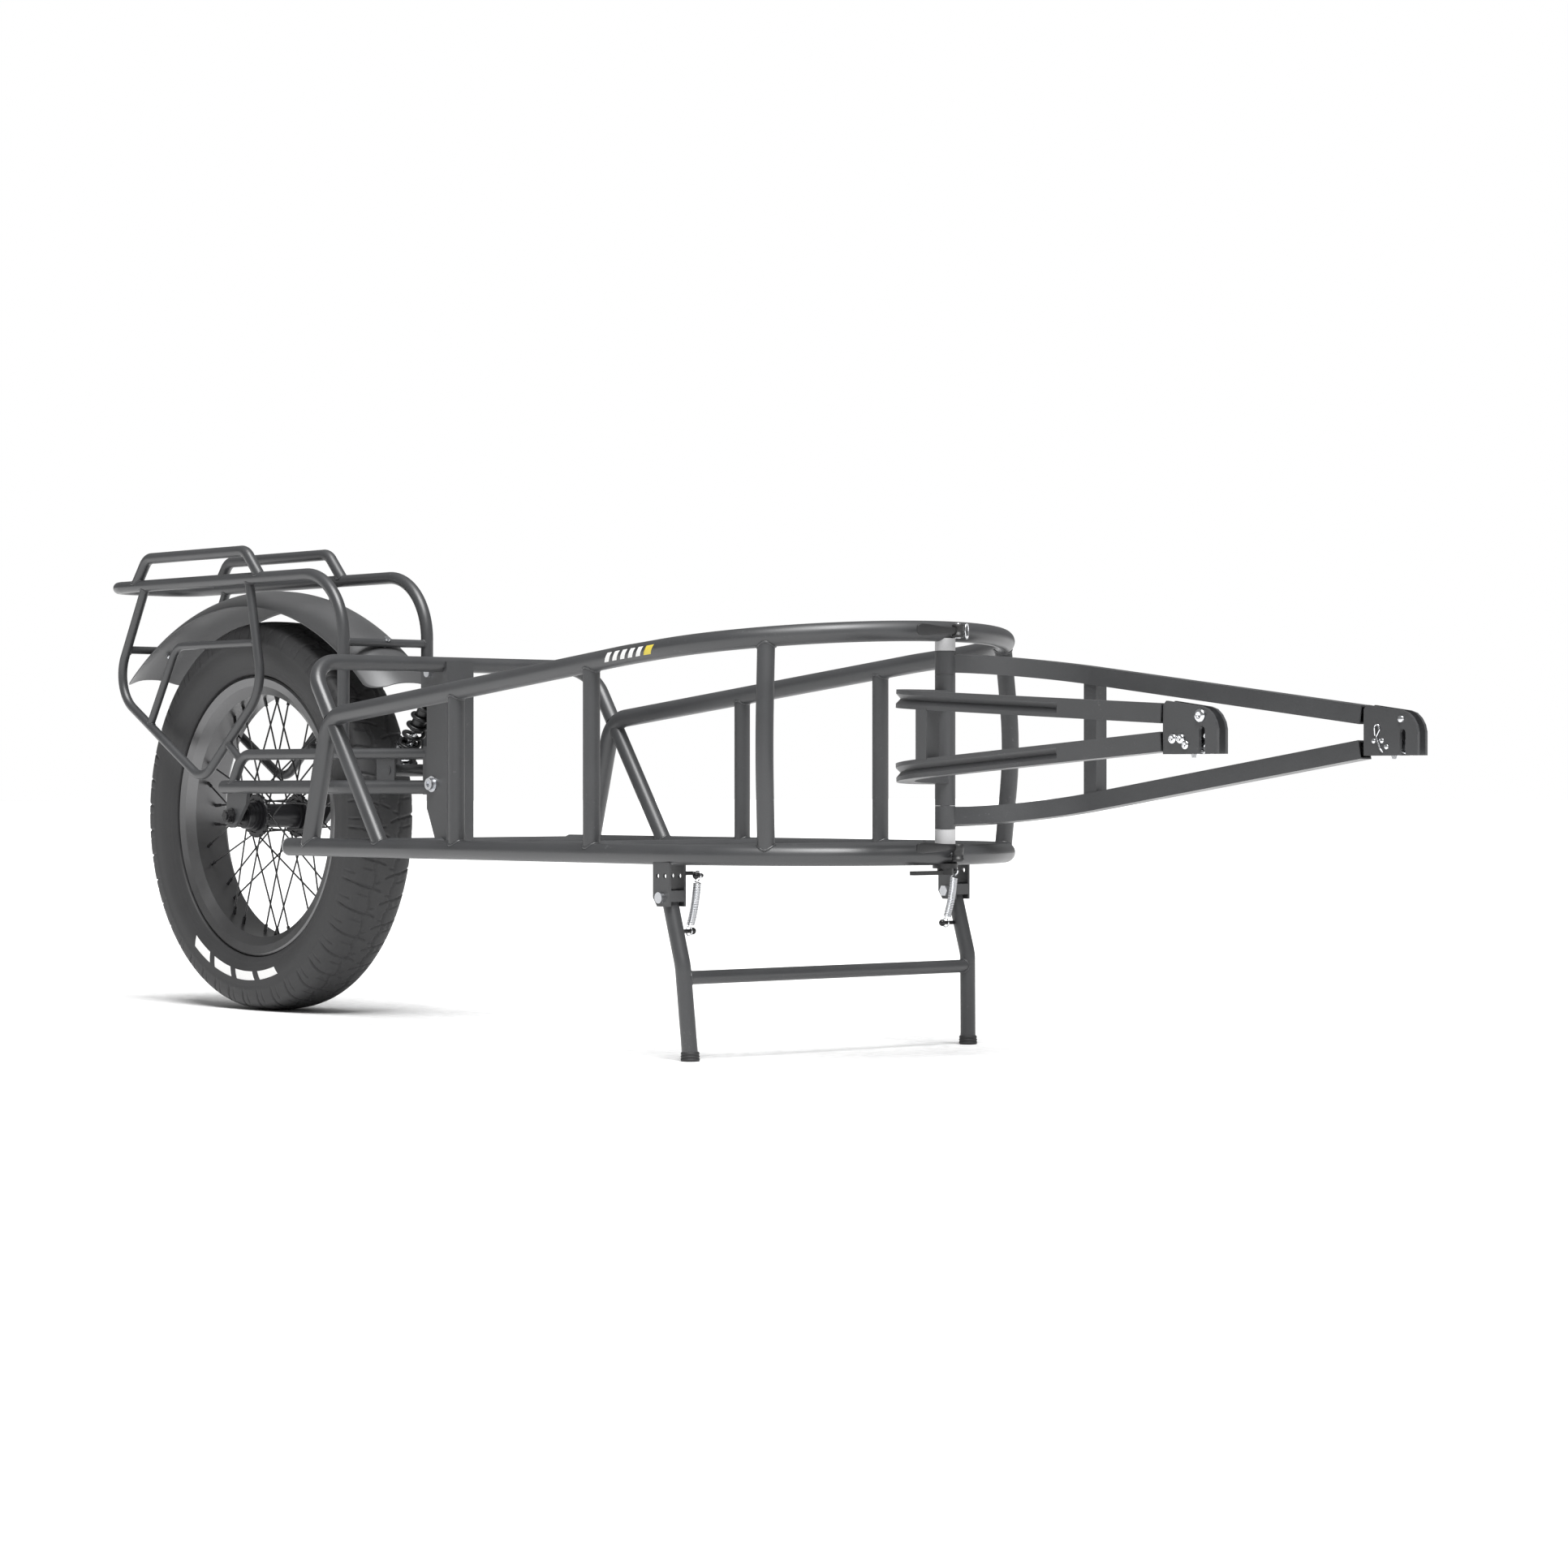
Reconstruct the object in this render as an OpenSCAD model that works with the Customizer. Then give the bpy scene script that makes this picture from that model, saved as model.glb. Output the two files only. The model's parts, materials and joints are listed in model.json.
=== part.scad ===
// Single-wheel suspended cargo trailer for a bicycle.
// Drawn with the wheel axle over the origin, +X towards the bicycle, +Y left, +Z up.
// Every node is then moved by -mid_x, so the origin sits under the middle of the trailer.

/* [Wheel] */
// Outside diameter of the tyre
tyre_od = 590; // [570:1:620]
// Width of the tyre
tyre_w = 106; // [90:1:112]
// Diameter where the tyre bead sits on the rim
bead_d = 406; // [380:1:420]
// Outside width of the rim
rim_w = 82; // [70:1:86]
// Pairs of spokes on each side of the hub
spoke_pairs = 9; // [6:1:10]
// Diameter of a spoke
spoke_d = 2.6; // [2:0.1:3]
// Diameter of the fixed axle
axle_d = 12; // [10:0.5:14]

/* [Basket] */
// Half the distance between the side rails, centre to centre
basket_half = 250; // [220:1:300]
// Distance from the wheel axle to the front middle of the rails
basket_front = 1470; // [1380:1:1560]
// Distance from the wheel axle to the open rear ends of the lower rail
basket_rear = 405; // [395:1:412]
// Height of the lower rail's centre line
floor_z = 255.5; // [240:0.5:270]
// Height of the upper rail's centre line at its front middle
brim_z = 532; // [500:1:560]
// Height of the upper rail's corner above the rear upright
brim_rear_z = 436; // [420:1:450]
// Outside diameter of both rails
rail_d = 25.4; // [22:0.1:30]
// Wall of the rails
rail_wall = 1.6; // [1.2:0.1:3]
// Outside diameter of struts, hoop and braces
strut_d = 22; // [16:0.5:24]
// Wall of struts, hoop and braces
strut_wall = 1.5; // [1:0.1:2.5]

/* [Suspension] */
// Distance from the wheel axle to the swingarm pivot
pivot_x = 432; // [425:1:440]
// Height of the swingarm pivot
pivot_z = 343; // [330:1:350]
// Width of the folded pivot post
post_w = 48; // [46:1:60]
// Half the distance between the two swingarm sides at the wheel
swing_half = 80; // [78:1:90]
// Outside diameter of the lower swingarm tubes
swing_d = 20; // [16:0.5:22]
// Outside diameter of the upper swingarm tubes
stay_d = 16; // [12:0.5:18]
// Diameter of the swingarm pivot bolt
pivot_bolt_d = 10; // [8:0.5:12]
// Diameter of the shock bolts
shock_bolt_d = 8; // [6:0.5:10]
// Outside diameter of the shock spring
spring_od = 34; // [30:0.5:36]
// Wire diameter of the shock spring
spring_wire = 5.5; // [4:0.5:6]

/* [Rack] */
// Half the distance between the two sides of the rack
rack_half = 75; // [72:1:80]
// Height of the rack deck's centre line
deck_z = 652; // [648:1:680]
// Height of the side handles' centre line
grip_z = 694; // [690:1:710]
// Distance from the axle back to the rear end of the deck
deck_rear = 366; // [350:1:390]
// Distance from the axle forward to the rack's front legs
deck_front = 283; // [275:1:290]
// Outside diameter of the deck tube
deck_d = 18; // [14:0.5:19]
// Outside diameter of the pannier frames
pannier_d = 14; // [10:0.5:15]
// Half the width of the mudguard
guard_half = 60; // [56:0.5:62]

/* [Yoke and hitch] */
// Half the distance between the two hitch plate packs
hitch_half = 170; // [160:1:180]
// Distance from the basket's front to the front of the hitch plates
yoke_reach = 614; // [560:1:680]
// Side of the square yoke tube
arm_sq = 22; // [18:0.5:24]
// Outside diameter of the head barrel and collars
head_d = 25.4; // [24:0.1:30]
// Diameter of the head pin
head_pin_d = 12; // [10:0.5:14]
// Width of the hitch slot
slot_w = 8.5; // [6:0.1:10]
// Thickness of one hitch plate
plate_t = 4; // [3:0.5:5]

/* [Kickstand] */
// Distance from the wheel axle to the kickstand pivots
stand_x = 1231; // [1180:1:1240]
// Height of the kickstand pivots
stand_z = 202; // [190:1:210]
// Outside diameter of the kickstand legs
leg_d = 20; // [16:0.5:22]
// Diameter of the kickstand pivot bolts
leg_bolt_d = 8; // [6:0.5:10]

/* [Hidden] */
$fn = 48;

// Clearances
fit = 0.3;         // between pieces that pass each other
run = 0.05;        // radial, between a shaft and what turns on it
swell = 0.1;       // what a bend is thicker than the straight tube that runs into it
lap = 0.8;         // how far a straight length runs into a bend

// Overall places
plate_front = basket_front + yoke_reach;
mid_x = (plate_front - deck_rear - deck_d / 2) / 2;
wheel_z = tyre_od / 2;

// Basket
arc_x = basket_front - basket_half;
brim_slope_front = 0.085;
brim_kink_x = arc_x - 70;
upright_foot_x = 453;
upright_top_x = 503;
brim_front_z = brim_z;
brim_kink_z = brim_front_z - brim_slope_front * (basket_front - brim_kink_x);
brim_bend = 45;
rail_top = floor_z + rail_d / 2;
rail_under = floor_z - rail_d / 2;
hoop_foot_x = 626;
hoop_top_x = 452;
hoop_z = 514;
hoop_bend = 45;
strut_xs = [795, 1082];
bow_angle = 54.3;
bow_out = 12;
cross_xs = [452, 838, 1176];
cap_len = 16;

// Pivot post
post_t = 3;
post_front = hoop_top_x + strut_d / 2 + post_t;
post_rear = pivot_x - 14;
shock_top = [425, 503];
shock_low = [322, 378];
shock_len = norm(shock_top - shock_low);
shock_turn = atan2(shock_top.x - shock_low.x, shock_top.y - shock_low.y);

// Swingarm
swing_z = 338.5;
stay_z = 387;
swing_bend_x = 285;
swing_wall = 1.6;
barrel_d = 28;
barrel_w = post_w - 2 * post_t - 2 * fit - 2;
bridge_x = 346;
bridge_z = 363;
bridge_d = 18;
drop_t = 6;

// Shock
eye_d = 20;
eye_w = 20;
damper_d = spring_od - 2 * spring_wire - 1;
damper_rod_d = 10;
coils = 6;
perch_low = 26;
perch_high = shock_len - 30;

// Mudguard
guard_x = -15;
guard_z = 118;
guard_r = 519;
guard_crown = 25;
guard_t = 1.6;
guard_from = 46;
guard_sweep = 85;

// Head
head_x = basket_front;
spacer_low_h = 18.5;
collar_low_z = rail_top + spacer_low_h + fit;
collar_low_h = 29;
barrel_z = collar_low_z + collar_low_h + fit;
barrel_h = 162;
collar_up_z = barrel_z + barrel_h + fit;
collar_up_h = 29;
spacer_up_z = collar_up_z + collar_up_h + fit;

// Arms
arm_wall = 1.8;
arm_start = head_d / 2 - 1.5;
arm_bend = 131;
arm_yaw = atan((hitch_half - arm_start - arm_bend) / (plate_front - 80 - head_x - arm_bend));
groove = 5.5;
groove_end = 240;

// Hitch plates
plate_len = 80;
plate_low = 376;
plate_high = 435;
plate_gap = 10;
pack_w = 2 * plate_t + plate_gap;
slot_x = plate_front - 22;
slot_top = 402;
latch_pivot = [plate_front - 46, 386];
latch_t = 4;
clip_d = 2.2;

// Kickstand
bracket_w = 27;
bracket_t = 3;
bracket_low = stand_z - 11;
foot_h = 12;
hook_at = [stand_x + 26, stand_z + 27];
stud_at = [stand_x + 9, stand_z - 42];
spring_y = basket_half - 30;
hook_y = spring_y - 8;
stand_y = basket_half - 5;

steel = [0.22, 0.225, 0.23];
zinc = [0.72, 0.73, 0.75];
black = [0.07, 0.07, 0.075];

// ---------- shared shapes ----------

function unit(v) = v / norm(v);
function turn(u, v) = acos(max(-1, min(1, u * v)));
function brim_height(x) = x < brim_kink_x
  ? brim_rear_z + (brim_kink_z - brim_rear_z) * (x - upright_top_x) / (brim_kink_x - upright_top_x)
  : brim_kink_z + brim_slope_front * (x - brim_kink_x);

// Straight round bar between two points
module rod(a, b, d) {
  v = b - a;
  translate(a) rotate([0, acos(v.z / norm(v)), atan2(v.y, v.x)]) cylinder(h = norm(v), d = d);
}

// Straight tube between two points
module rod_tube(a, b, d, wall) {
  v = b - a;
  translate(a) rotate([0, acos(v.z / norm(v)), atan2(v.y, v.x)]) difference() {
    cylinder(h = norm(v), d = d);
    translate([0, 0, -1]) cylinder(h = norm(v) + 2, d = d - 2 * wall);
  }
}

// Bend that starts at a point in direction u and turns by w towards side; solid where wall is 0
module arch(start, u, side, r, w, d, wall) {
  x = -side;
  hub = start + side * r;
  z = cross(x, u);
  multmatrix([[x.x, u.x, z.x, hub.x], [x.y, u.y, z.y, hub.y], [x.z, u.z, z.z, hub.z], [0, 0, 0, 1]])
    rotate_extrude(angle = w) translate([r, 0]) difference() {
      circle(d = d);
      if (wall > 0) circle(d = d - 2 * wall);
    }
}

// Bend at the corner p from direction u to direction v, solid
module elbow(p, u, v, r, d) {
  w = turn(u, v);
  arch(p - u * (r * tan(w / 2)), u, unit(v - u * (u * v)), r, w, d, 0);
}

// Direction towards the centre of each bend; around is used where a bend turns right back
function bend_sides(dirs, around) = [
  for (k = [0:len(dirs) - 2]) let (u = dirs[k], v = dirs[k + 1])
    norm(cross(u, v)) > 0.001 ? unit(v - u * (u * v)) : around
];

// Turn about the tube's own axis that lines up one bend's plane with the next
function bend_rolls(dirs, sides, ws) = [
  for (k = [0:len(sides) - 1]) k == 0 ? 0 :
    let (u = dirs[k - 1], was = sides[k - 1] * cos(ws[k - 1]) - u * sin(ws[k - 1]))
    atan2(cross(was, sides[k]) * dirs[k], was * sides[k])
];

// Straight and bent lengths laid end to end, each starting in the frame where the last one ends
module chain(lens, ws, rolls, radii, d, wall, k = 0) {
  low = k == 0 ? 0 : -lap;
  high = k == len(ws) ? lens[k] : lens[k] + lap;
  difference() {
    translate([0, 0, low]) cylinder(h = high - low, d = d);
    if (wall > 0) translate([0, 0, low - 1]) cylinder(h = high - low + 2, d = d - 2 * wall);
  }
  if (k < len(ws)) translate([0, 0, lens[k]]) rotate([0, 0, rolls[k]]) {
    multmatrix([[-1, 0, 0, radii[k]], [0, 0, 1, 0], [0, 1, 0, 0], [0, 0, 0, 1]])
      rotate_extrude(angle = ws[k]) translate([radii[k], 0]) difference() {
        circle(d = d + swell);
        if (wall > 0) circle(d = d - 2 * wall - swell);
      }
    translate([radii[k], 0, 0]) rotate([0, ws[k], 0]) translate([-radii[k], 0, 0])
      chain(lens, ws, rolls, radii, d, wall, k + 1);
  }
}

// Tube from a start point along directions and straight lengths, bent between them
module tube_run(start, dirs, lens, radii, d, wall, around = [0, -1, 0]) {
  sides = bend_sides(dirs, around);
  ws = [for (k = [0:len(dirs) - 2]) turn(dirs[k], dirs[k + 1])];
  x = sides[0];
  z = dirs[0];
  y = cross(z, x);
  multmatrix([[x.x, y.x, z.x, start.x], [x.y, y.y, z.y, start.y], [x.z, y.z, z.z, start.z], [0, 0, 0, 1]])
    chain(lens, ws, bend_rolls(dirs, sides, ws), radii, d, wall);
}

function steps_dirs(pts) = [for (k = [0:len(pts) - 2]) unit(pts[k + 1] - pts[k])];
function steps_lens(pts, radii) = let (
  dirs = steps_dirs(pts), last = len(pts) - 1,
  cuts = [for (k = [0:last]) k == 0 || k == last ? 0 : radii[k - 1] * tan(turn(dirs[k - 1], dirs[k]) / 2)]
) [for (k = [0:last - 1]) norm(pts[k + 1] - pts[k]) - cuts[k] - cuts[k + 1]];

// Round bar or tube along a chain of points, with a bend radius at each inner point
module pipe(pts, radii, d, wall) {
  tube_run(pts[0], steps_dirs(pts), steps_lens(pts, radii), radii, d, wall);
}

module bar(pts, radii, d) { pipe(pts, radii, d, 0); }

// Cylinder along Y, from y0 to y1, at (x, z)
module pin(x, z, y0, y1, d) {
  translate([x, y0, z]) rotate([-90, 0, 0]) cylinder(h = y1 - y0, d = d);
}

// Plate in the X-Z plane from an outline of (x, z) points, between y0 and y1
module plate(pts, y0, y1) {
  translate([0, y1, 0]) rotate([90, 0, 0]) linear_extrude(y1 - y0) polygon(pts);
}

// Hexagon head or nut along Y
module hex(x, z, y0, y1, across) {
  translate([x, y0, z]) rotate([-90, 0, 0]) cylinder(h = y1 - y0, d = across / cos(30), $fn = 6);
}

module both() {
  children();
  mirror([0, 1, 0]) children();
}

// ---------- basket frame ----------

brim_side = [
  [upright_foot_x, basket_half, floor_z], [upright_top_x, basket_half, brim_rear_z],
  [brim_kink_x, basket_half, brim_kink_z],
  [arc_x, basket_half, brim_front_z - brim_slope_front * basket_half]
];
brim_dir = unit([1, 0, brim_slope_front]);
brim_up = steps_dirs(brim_side);
brim_dirs = concat(brim_up, [for (k = [2:-1:0]) -brim_up[k]]);
brim_half_lens = steps_lens(brim_side, [brim_bend, 1500]);
brim_lens = concat(brim_half_lens, [for (k = [2:-1:0]) brim_half_lens[k]]);

// Outer shapes of the rails, for the pieces that are fitted against them
module lower_side(d) { rod([basket_rear - 30, basket_half, floor_z], [arc_x, basket_half, floor_z], d); }
module lower_nose(d, w = 90) {
  arch([arc_x, basket_half, floor_z], [1, 0, 0], [0, -1, 0], basket_half, w, d + swell, 0);
}
module brim_side_rod(d) { rod(brim_side[1] + unit(brim_side[2] - brim_side[1]) * 26, brim_side[2], d); }
module brim_nose(d, w = 90) { arch(brim_side[3], brim_dir, [0, -1, 0], basket_half, w, d + swell, 0); }

cross_bolt_d = 6;
module cross_hole(z) { rod([head_x - rail_d, 0, z], [head_x + rail_d, 0, z], cross_bolt_d + 2 * fit); }
module head_bore(z0, z1) { translate([head_x, 0, z0]) cylinder(h = z1 - z0, d = head_pin_d + 2 * fit); }

module lower_rail() {
  color(steel) difference() {
    tube_run([basket_rear, basket_half, floor_z], [[1, 0, 0], [-1, 0, 0]],
             [arc_x - basket_rear, arc_x - basket_rear], [basket_half], rail_d, rail_wall);
    head_bore(rail_under - 1, rail_top + 1);
    cross_hole(floor_z);
  }
}

module upper_rail() {
  color(steel) difference() {
    tube_run(brim_side[0], brim_dirs, brim_lens, [brim_bend, 1500, basket_half, 1500, brim_bend],
             rail_d, rail_wall);
    both() lower_side(rail_d);
    head_bore(brim_front_z - rail_d, brim_front_z);
    cross_hole(brim_front_z);
  }
}

module side_struts() {
  foot_y = basket_half * sin(bow_angle);
  foot_x = arc_x + basket_half * cos(bow_angle);
  top = brim_height(foot_x);
  out = [cos(bow_angle), sin(bow_angle), 0] * bow_out;
  color(steel) both() {
    difference() {
      for (x = strut_xs)
        rod_tube([x, basket_half, floor_z], [x, basket_half, brim_height(x)], strut_d, strut_wall);
      lower_side(rail_d);
      brim_side_rod(rail_d);
    }
    difference() {
      pipe([[foot_x, foot_y, floor_z], [foot_x, foot_y, (floor_z + top) / 2] + out, [foot_x, foot_y, top]],
           [600], strut_d, strut_wall);
      lower_nose(rail_d);
      brim_nose(rail_d);
    }
  }
}

module cross_tubes() {
  color(steel) difference() {
    for (x = cross_xs) rod_tube([x, -basket_half, floor_z], [x, basket_half, floor_z], strut_d, strut_wall);
    both() {
      lower_side(rail_d);
      rod(brim_side[0], brim_side[1], rail_d);
    }
  }
}

// Point on the hoop's leg line at height z
function hoop_leg(z, y) = [hoop_foot_x + (hoop_top_x - hoop_foot_x) * (z - floor_z) / (hoop_z - floor_z), y, z];
hoop_split = brim_rear_z;

// Rear corner of the upper rail, where the hoop and the braces meet it
module brim_corner(d) {
  u = unit(brim_side[1] - brim_side[0]);
  v = unit(brim_side[2] - brim_side[1]);
  rod(brim_side[0], brim_side[1] - u * 18, d);
  elbow(brim_side[1], u, v, brim_bend, d + swell);
  rod(brim_side[1] + v * 18, brim_side[1] + v * 140, d);
}

module rear_hoop() {
  color(steel) difference() {
    pipe([hoop_leg(hoop_split, -basket_half), [hoop_top_x, -basket_half, hoop_z],
          [hoop_top_x, basket_half, hoop_z], hoop_leg(hoop_split, basket_half)],
         [hoop_bend, hoop_bend], strut_d, strut_wall);
    both() brim_corner(rail_d);
  }
}

module rear_braces() {
  color(steel) both() difference() {
    rod_tube(hoop_leg(floor_z, basket_half), hoop_leg(hoop_split - 4, basket_half), strut_d, strut_wall);
    brim_corner(rail_d);
    lower_side(rail_d);
  }
}

module rail_end_caps() {
  plug_d = rail_d - 2 * rail_wall;
  color([0.75, 0.75, 0.75]) both() {
    rod([basket_rear - 3, basket_half, floor_z], [basket_rear, basket_half, floor_z], rail_d);
    rod([basket_rear, basket_half, floor_z], [basket_rear + cap_len, basket_half, floor_z], plug_d);
  }
}

// Folded channel: a web at the front and two flanges that hold the pivot and the shock
module pivot_post() {
  half = post_w / 2;
  flange = [
    [post_front, floor_z], [post_rear + 20, floor_z], [post_rear + 20, floor_z + 8], [post_rear + 4, 300],
    [post_rear, 308], [post_rear, 462], [shock_top.x - 21, 478], [shock_top.x - 21, hoop_z - 6],
    [hoop_top_x - 8, hoop_z + 4], [post_front, hoop_z + 4]
  ];
  color(steel) difference() {
    union() {
      both() plate(flange, half - post_t, half);
      translate([post_front - post_t, -half, floor_z]) cube([post_t, post_w, hoop_z + 4 - floor_z]);
    }
    pin(pivot_x, pivot_z, -half - 1, half + 1, pivot_bolt_d);
    pin(shock_top.x, shock_top.y, -half - 1, half + 1, shock_bolt_d);
    rod([hoop_top_x, -half - 1, hoop_z], [hoop_top_x, half + 1, hoop_z], strut_d);
    rod([cross_xs[0], -half - 1, floor_z], [cross_xs[0], half + 1, floor_z], strut_d);
  }
}

// ---------- head ----------

// The spacers sit in shallow saddles on the rails
saddle = 4;
module head_spacer_upper() {
  color(zinc) difference() {
    translate([head_x, 0, spacer_up_z]) cylinder(h = brim_front_z - rail_d / 2 + saddle - spacer_up_z, d = head_d);
    head_bore(spacer_up_z - 1, brim_front_z + 1);
    brim_nose(rail_d, 180);
  }
}

module head_spacer_lower() {
  color(zinc) difference() {
    translate([head_x, 0, rail_top - saddle]) cylinder(h = saddle + spacer_low_h, d = head_d);
    head_bore(floor_z - 1, rail_top + spacer_low_h + 1);
    lower_nose(rail_d, 180);
  }
}

pin_low = rail_under - 9;
pin_top = brim_front_z + 7;
handle_low = pin_low - 3;
module head_pin() {
  color(zinc) difference() {
    translate([head_x, 0, pin_low]) cylinder(h = pin_top - pin_low, d = head_pin_d);
    cross_hole(brim_front_z);
    cross_hole(floor_z);
  }
}

// Washer under the lower rail, and the turning handle on the lower end of the head pin
washer_t = 4;
module head_pin_handle() {
  color(black) {
    difference() {
      translate([head_x, 0, rail_under - washer_t]) cylinder(h = washer_t + 2, d = head_d + 6);
      head_bore(rail_under - washer_t - 1, rail_top);
      lower_nose(rail_d, 180);
    }
    difference() {
      union() {
        translate([head_x, 0, handle_low]) cylinder(h = rail_under - washer_t - fit - handle_low, d = 20);
        translate([head_x - 6, -52, handle_low]) cube([12, 52, 5]);
        translate([head_x, -52, handle_low]) cylinder(h = 5, d = 12);
      }
      translate([head_x, 0, pin_low]) cylinder(h = 12, d = head_pin_d);
    }
  }
}

// Bolt through a rail and the head pin; its eye in front of the rail carries a cam lever
lever_x = head_x + rail_d / 2 + 10;
eye_h = 7;
eye_bolt_d = 10;
lever_pin_d = 4;
module cross_bolt(z, back) {
  difference() {
    union() {
      rod([back - 6, 0, z], [lever_x, 0, z], cross_bolt_d);
      rod([back - 6, 0, z], [back, 0, z], 11);
      translate([lever_x, 0, z - eye_h / 2]) cylinder(h = eye_h, d = eye_bolt_d);
    }
    translate([lever_x, 0, z - eye_h]) cylinder(h = 2 * eye_h, d = lever_pin_d);
  }
}

module head_cross_bolt() {
  color(zinc) {
    cross_bolt(brim_front_z, arc_x + brim_dir.x * basket_half - rail_d / 2 - swell);
    cross_bolt(floor_z, head_x - rail_d / 2 - swell);
  }
}

// Cam lever on an upright pin at height z; the blade reaches from blade_z up to the top of the boss
module cam_lever(z, top, blade_z) {
  low = z - 8;
  gap = eye_h / 2 + fit;
  color(black) difference() {
    union() {
      translate([lever_x, 0, low]) cylinder(h = top - low, d = 15);
      translate([lever_x - 3, -68, blade_z]) cube([7, 68, top - blade_z]);
      translate([lever_x + 0.5, -68, blade_z]) cylinder(h = top - blade_z, d = 7);
    }
    translate([lever_x, 0, z - gap]) cylinder(h = 2 * gap, d = eye_bolt_d + 2 * fit);
    translate([lever_x - 12, -5, z - gap]) cube([12, 13, 2 * gap]);
    translate([lever_x - 1, 0, z - gap]) cube([1 + cross_bolt_d / 2 + 1, 8, 2 * gap]);
  }
  color(zinc) translate([lever_x, 0, low + 0.5]) cylinder(h = 15, d = lever_pin_d - 2 * run);
}

module head_lever() { cam_lever(brim_front_z, brim_front_z + 8, brim_front_z + 0.5); }
module low_lever() { cam_lever(floor_z, rail_top + 1, floor_z + 6); }

// ---------- suspension ----------

module pivot_bolt() {
  half = post_w / 2;
  color(zinc) difference() {
    union() {
      pin(pivot_x, pivot_z, -half - 2, half + 12, pivot_bolt_d);
      pin(pivot_x, pivot_z, -half - 2, -half, 23);
      pin(pivot_x, pivot_z, -half - 8, -half - 2, 17);
      pin(pivot_x, pivot_z, half, half + 2, 20);
    }
    hex(pivot_x, pivot_z, -half - 9, -half - 4, 8);
  }
}

module pivot_nut() {
  half = post_w / 2;
  color(zinc) difference() {
    hex(pivot_x, pivot_z, half + 2, half + 11, 17);
    pin(pivot_x, pivot_z, half + 1, half + 12, pivot_bolt_d);
  }
}

module shock_upper_bolt() {
  half = post_w / 2;
  color(zinc) union() {
    pin(shock_top.x, shock_top.y, -half - 1, half + 7, shock_bolt_d);
    pin(shock_top.x, shock_top.y, -half - 6, -half, 13);
    hex(shock_top.x, shock_top.y, half, half + 6.5, 13);
  }
}

// Sleeves that centre the upper eye of the shock between the post's flanges
module shock_spacers() {
  color(zinc) both() difference() {
    pin(shock_top.x, shock_top.y, eye_w / 2 + fit, post_w / 2 - post_t, shock_bolt_d + 6);
    pin(shock_top.x, shock_top.y, 0, post_w / 2, shock_bolt_d);
  }
}

meet_x = pivot_x - 12;
swing_low = [
  [-24, swing_half, swing_z], [swing_bend_x, swing_half, swing_z], [meet_x, 0, swing_z]
];
swing_up = [
  [-2, swing_half, swing_z], [26, swing_half, stay_z], [swing_bend_x, swing_half, stay_z], [meet_x, 0, stay_z]
];
stay_bend = 36;
swing_bend = 50;

// Front bend of an upper swingarm tube, where the rack's leg stands on it
module stay_corner(d) {
  v = unit(swing_up[3] - swing_up[2]);
  rod(swing_up[2] - [60, 0, 0], swing_up[2] - [13, 0, 0], d);
  elbow(swing_up[2], [1, 0, 0], v, swing_bend, d + swell);
  rod(swing_up[2] + v * 13, swing_up[2] + v * 60, d);
}

block_len = 32;
block_low = pivot_z - 15;
block_high = stay_z + stay_d / 2 + 2.5;
module block_space() {
  translate([pivot_x - block_len, -barrel_w / 2 + 2, block_low])
    cube([block_len, barrel_w - 4, block_high - block_low]);
}

module swing_tubes() {
  color(steel) both() difference() {
    pipe(swing_low, [swing_bend], swing_d, swing_wall);
    block_space();
  }
}

module swing_stays() {
  color(steel) both() difference() {
    pipe(swing_up, [stay_bend, swing_bend], stay_d, swing_wall);
    rod(swing_low[0], swing_low[1], swing_d);
    block_space();
  }
}

// Barrel and block that join the tubes and stays at the pivot
module pivot_block() {
  color(steel) difference() {
    union() {
      block_space();
      pin(pivot_x, pivot_z, -barrel_w / 2, barrel_w / 2, barrel_d);
    }
    pin(pivot_x, pivot_z, -barrel_w, barrel_w, pivot_bolt_d + 5);
  }
}

module pivot_bushes() {
  color([0.8, 0.7, 0.4]) both() difference() {
    union() {
      pin(pivot_x, pivot_z, 1, barrel_w / 2, pivot_bolt_d + 5);
      pin(pivot_x, pivot_z, barrel_w / 2, barrel_w / 2 + 1, pivot_bolt_d + 9);
    }
    pin(pivot_x, pivot_z, 0, barrel_w, pivot_bolt_d + 2 * run);
  }
}

// Cross tube, its two side gussets and the clevis for the lower end of the shock
module shock_mount() {
  slope = swing_half / (meet_x - swing_bend_x);
  reach = (meet_x - bridge_x) * slope;
  link = [
    [bridge_x - 4, bridge_z + 11], [bridge_x - 6, bridge_z - 8], [shock_low.x - 5, shock_low.y - 9],
    [shock_low.x + 4, shock_low.y + 10]
  ];
  color(steel) difference() {
    union() {
      pin(bridge_x, bridge_z, -reach, reach, bridge_d);
      both() {
        translate([bridge_x, reach, (swing_z + stay_z) / 2]) rotate([0, 0, -atan(slope)])
          translate([-14, -2.5, -(stay_z - swing_z) / 2]) cube([28, 5, stay_z - swing_z]);
        plate(link, eye_w / 2 + 1, eye_w / 2 + 5);
        pin(shock_low.x, shock_low.y, eye_w / 2 + 1, eye_w / 2 + 5, 21);
      }
    }
    pin(shock_low.x, shock_low.y, -30, 30, shock_bolt_d);
    pin(shock_low.x, shock_low.y, -eye_w / 2 - 1, eye_w / 2 + 1, eye_d + 6);
    both() {
      rod(swing_low[1], swing_low[2], swing_d);
      rod(swing_up[2], swing_up[3], stay_d);
    }
  }
}

module shock_lower_bolt() {
  y = eye_w / 2 + 5;
  color(zinc) union() {
    pin(shock_low.x, shock_low.y, -y, y + 1, shock_bolt_d);
    pin(shock_low.x, shock_low.y, -y - 5, -y, 13);
    hex(shock_low.x, shock_low.y, y, y + 6.5, 13);
  }
}

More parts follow.
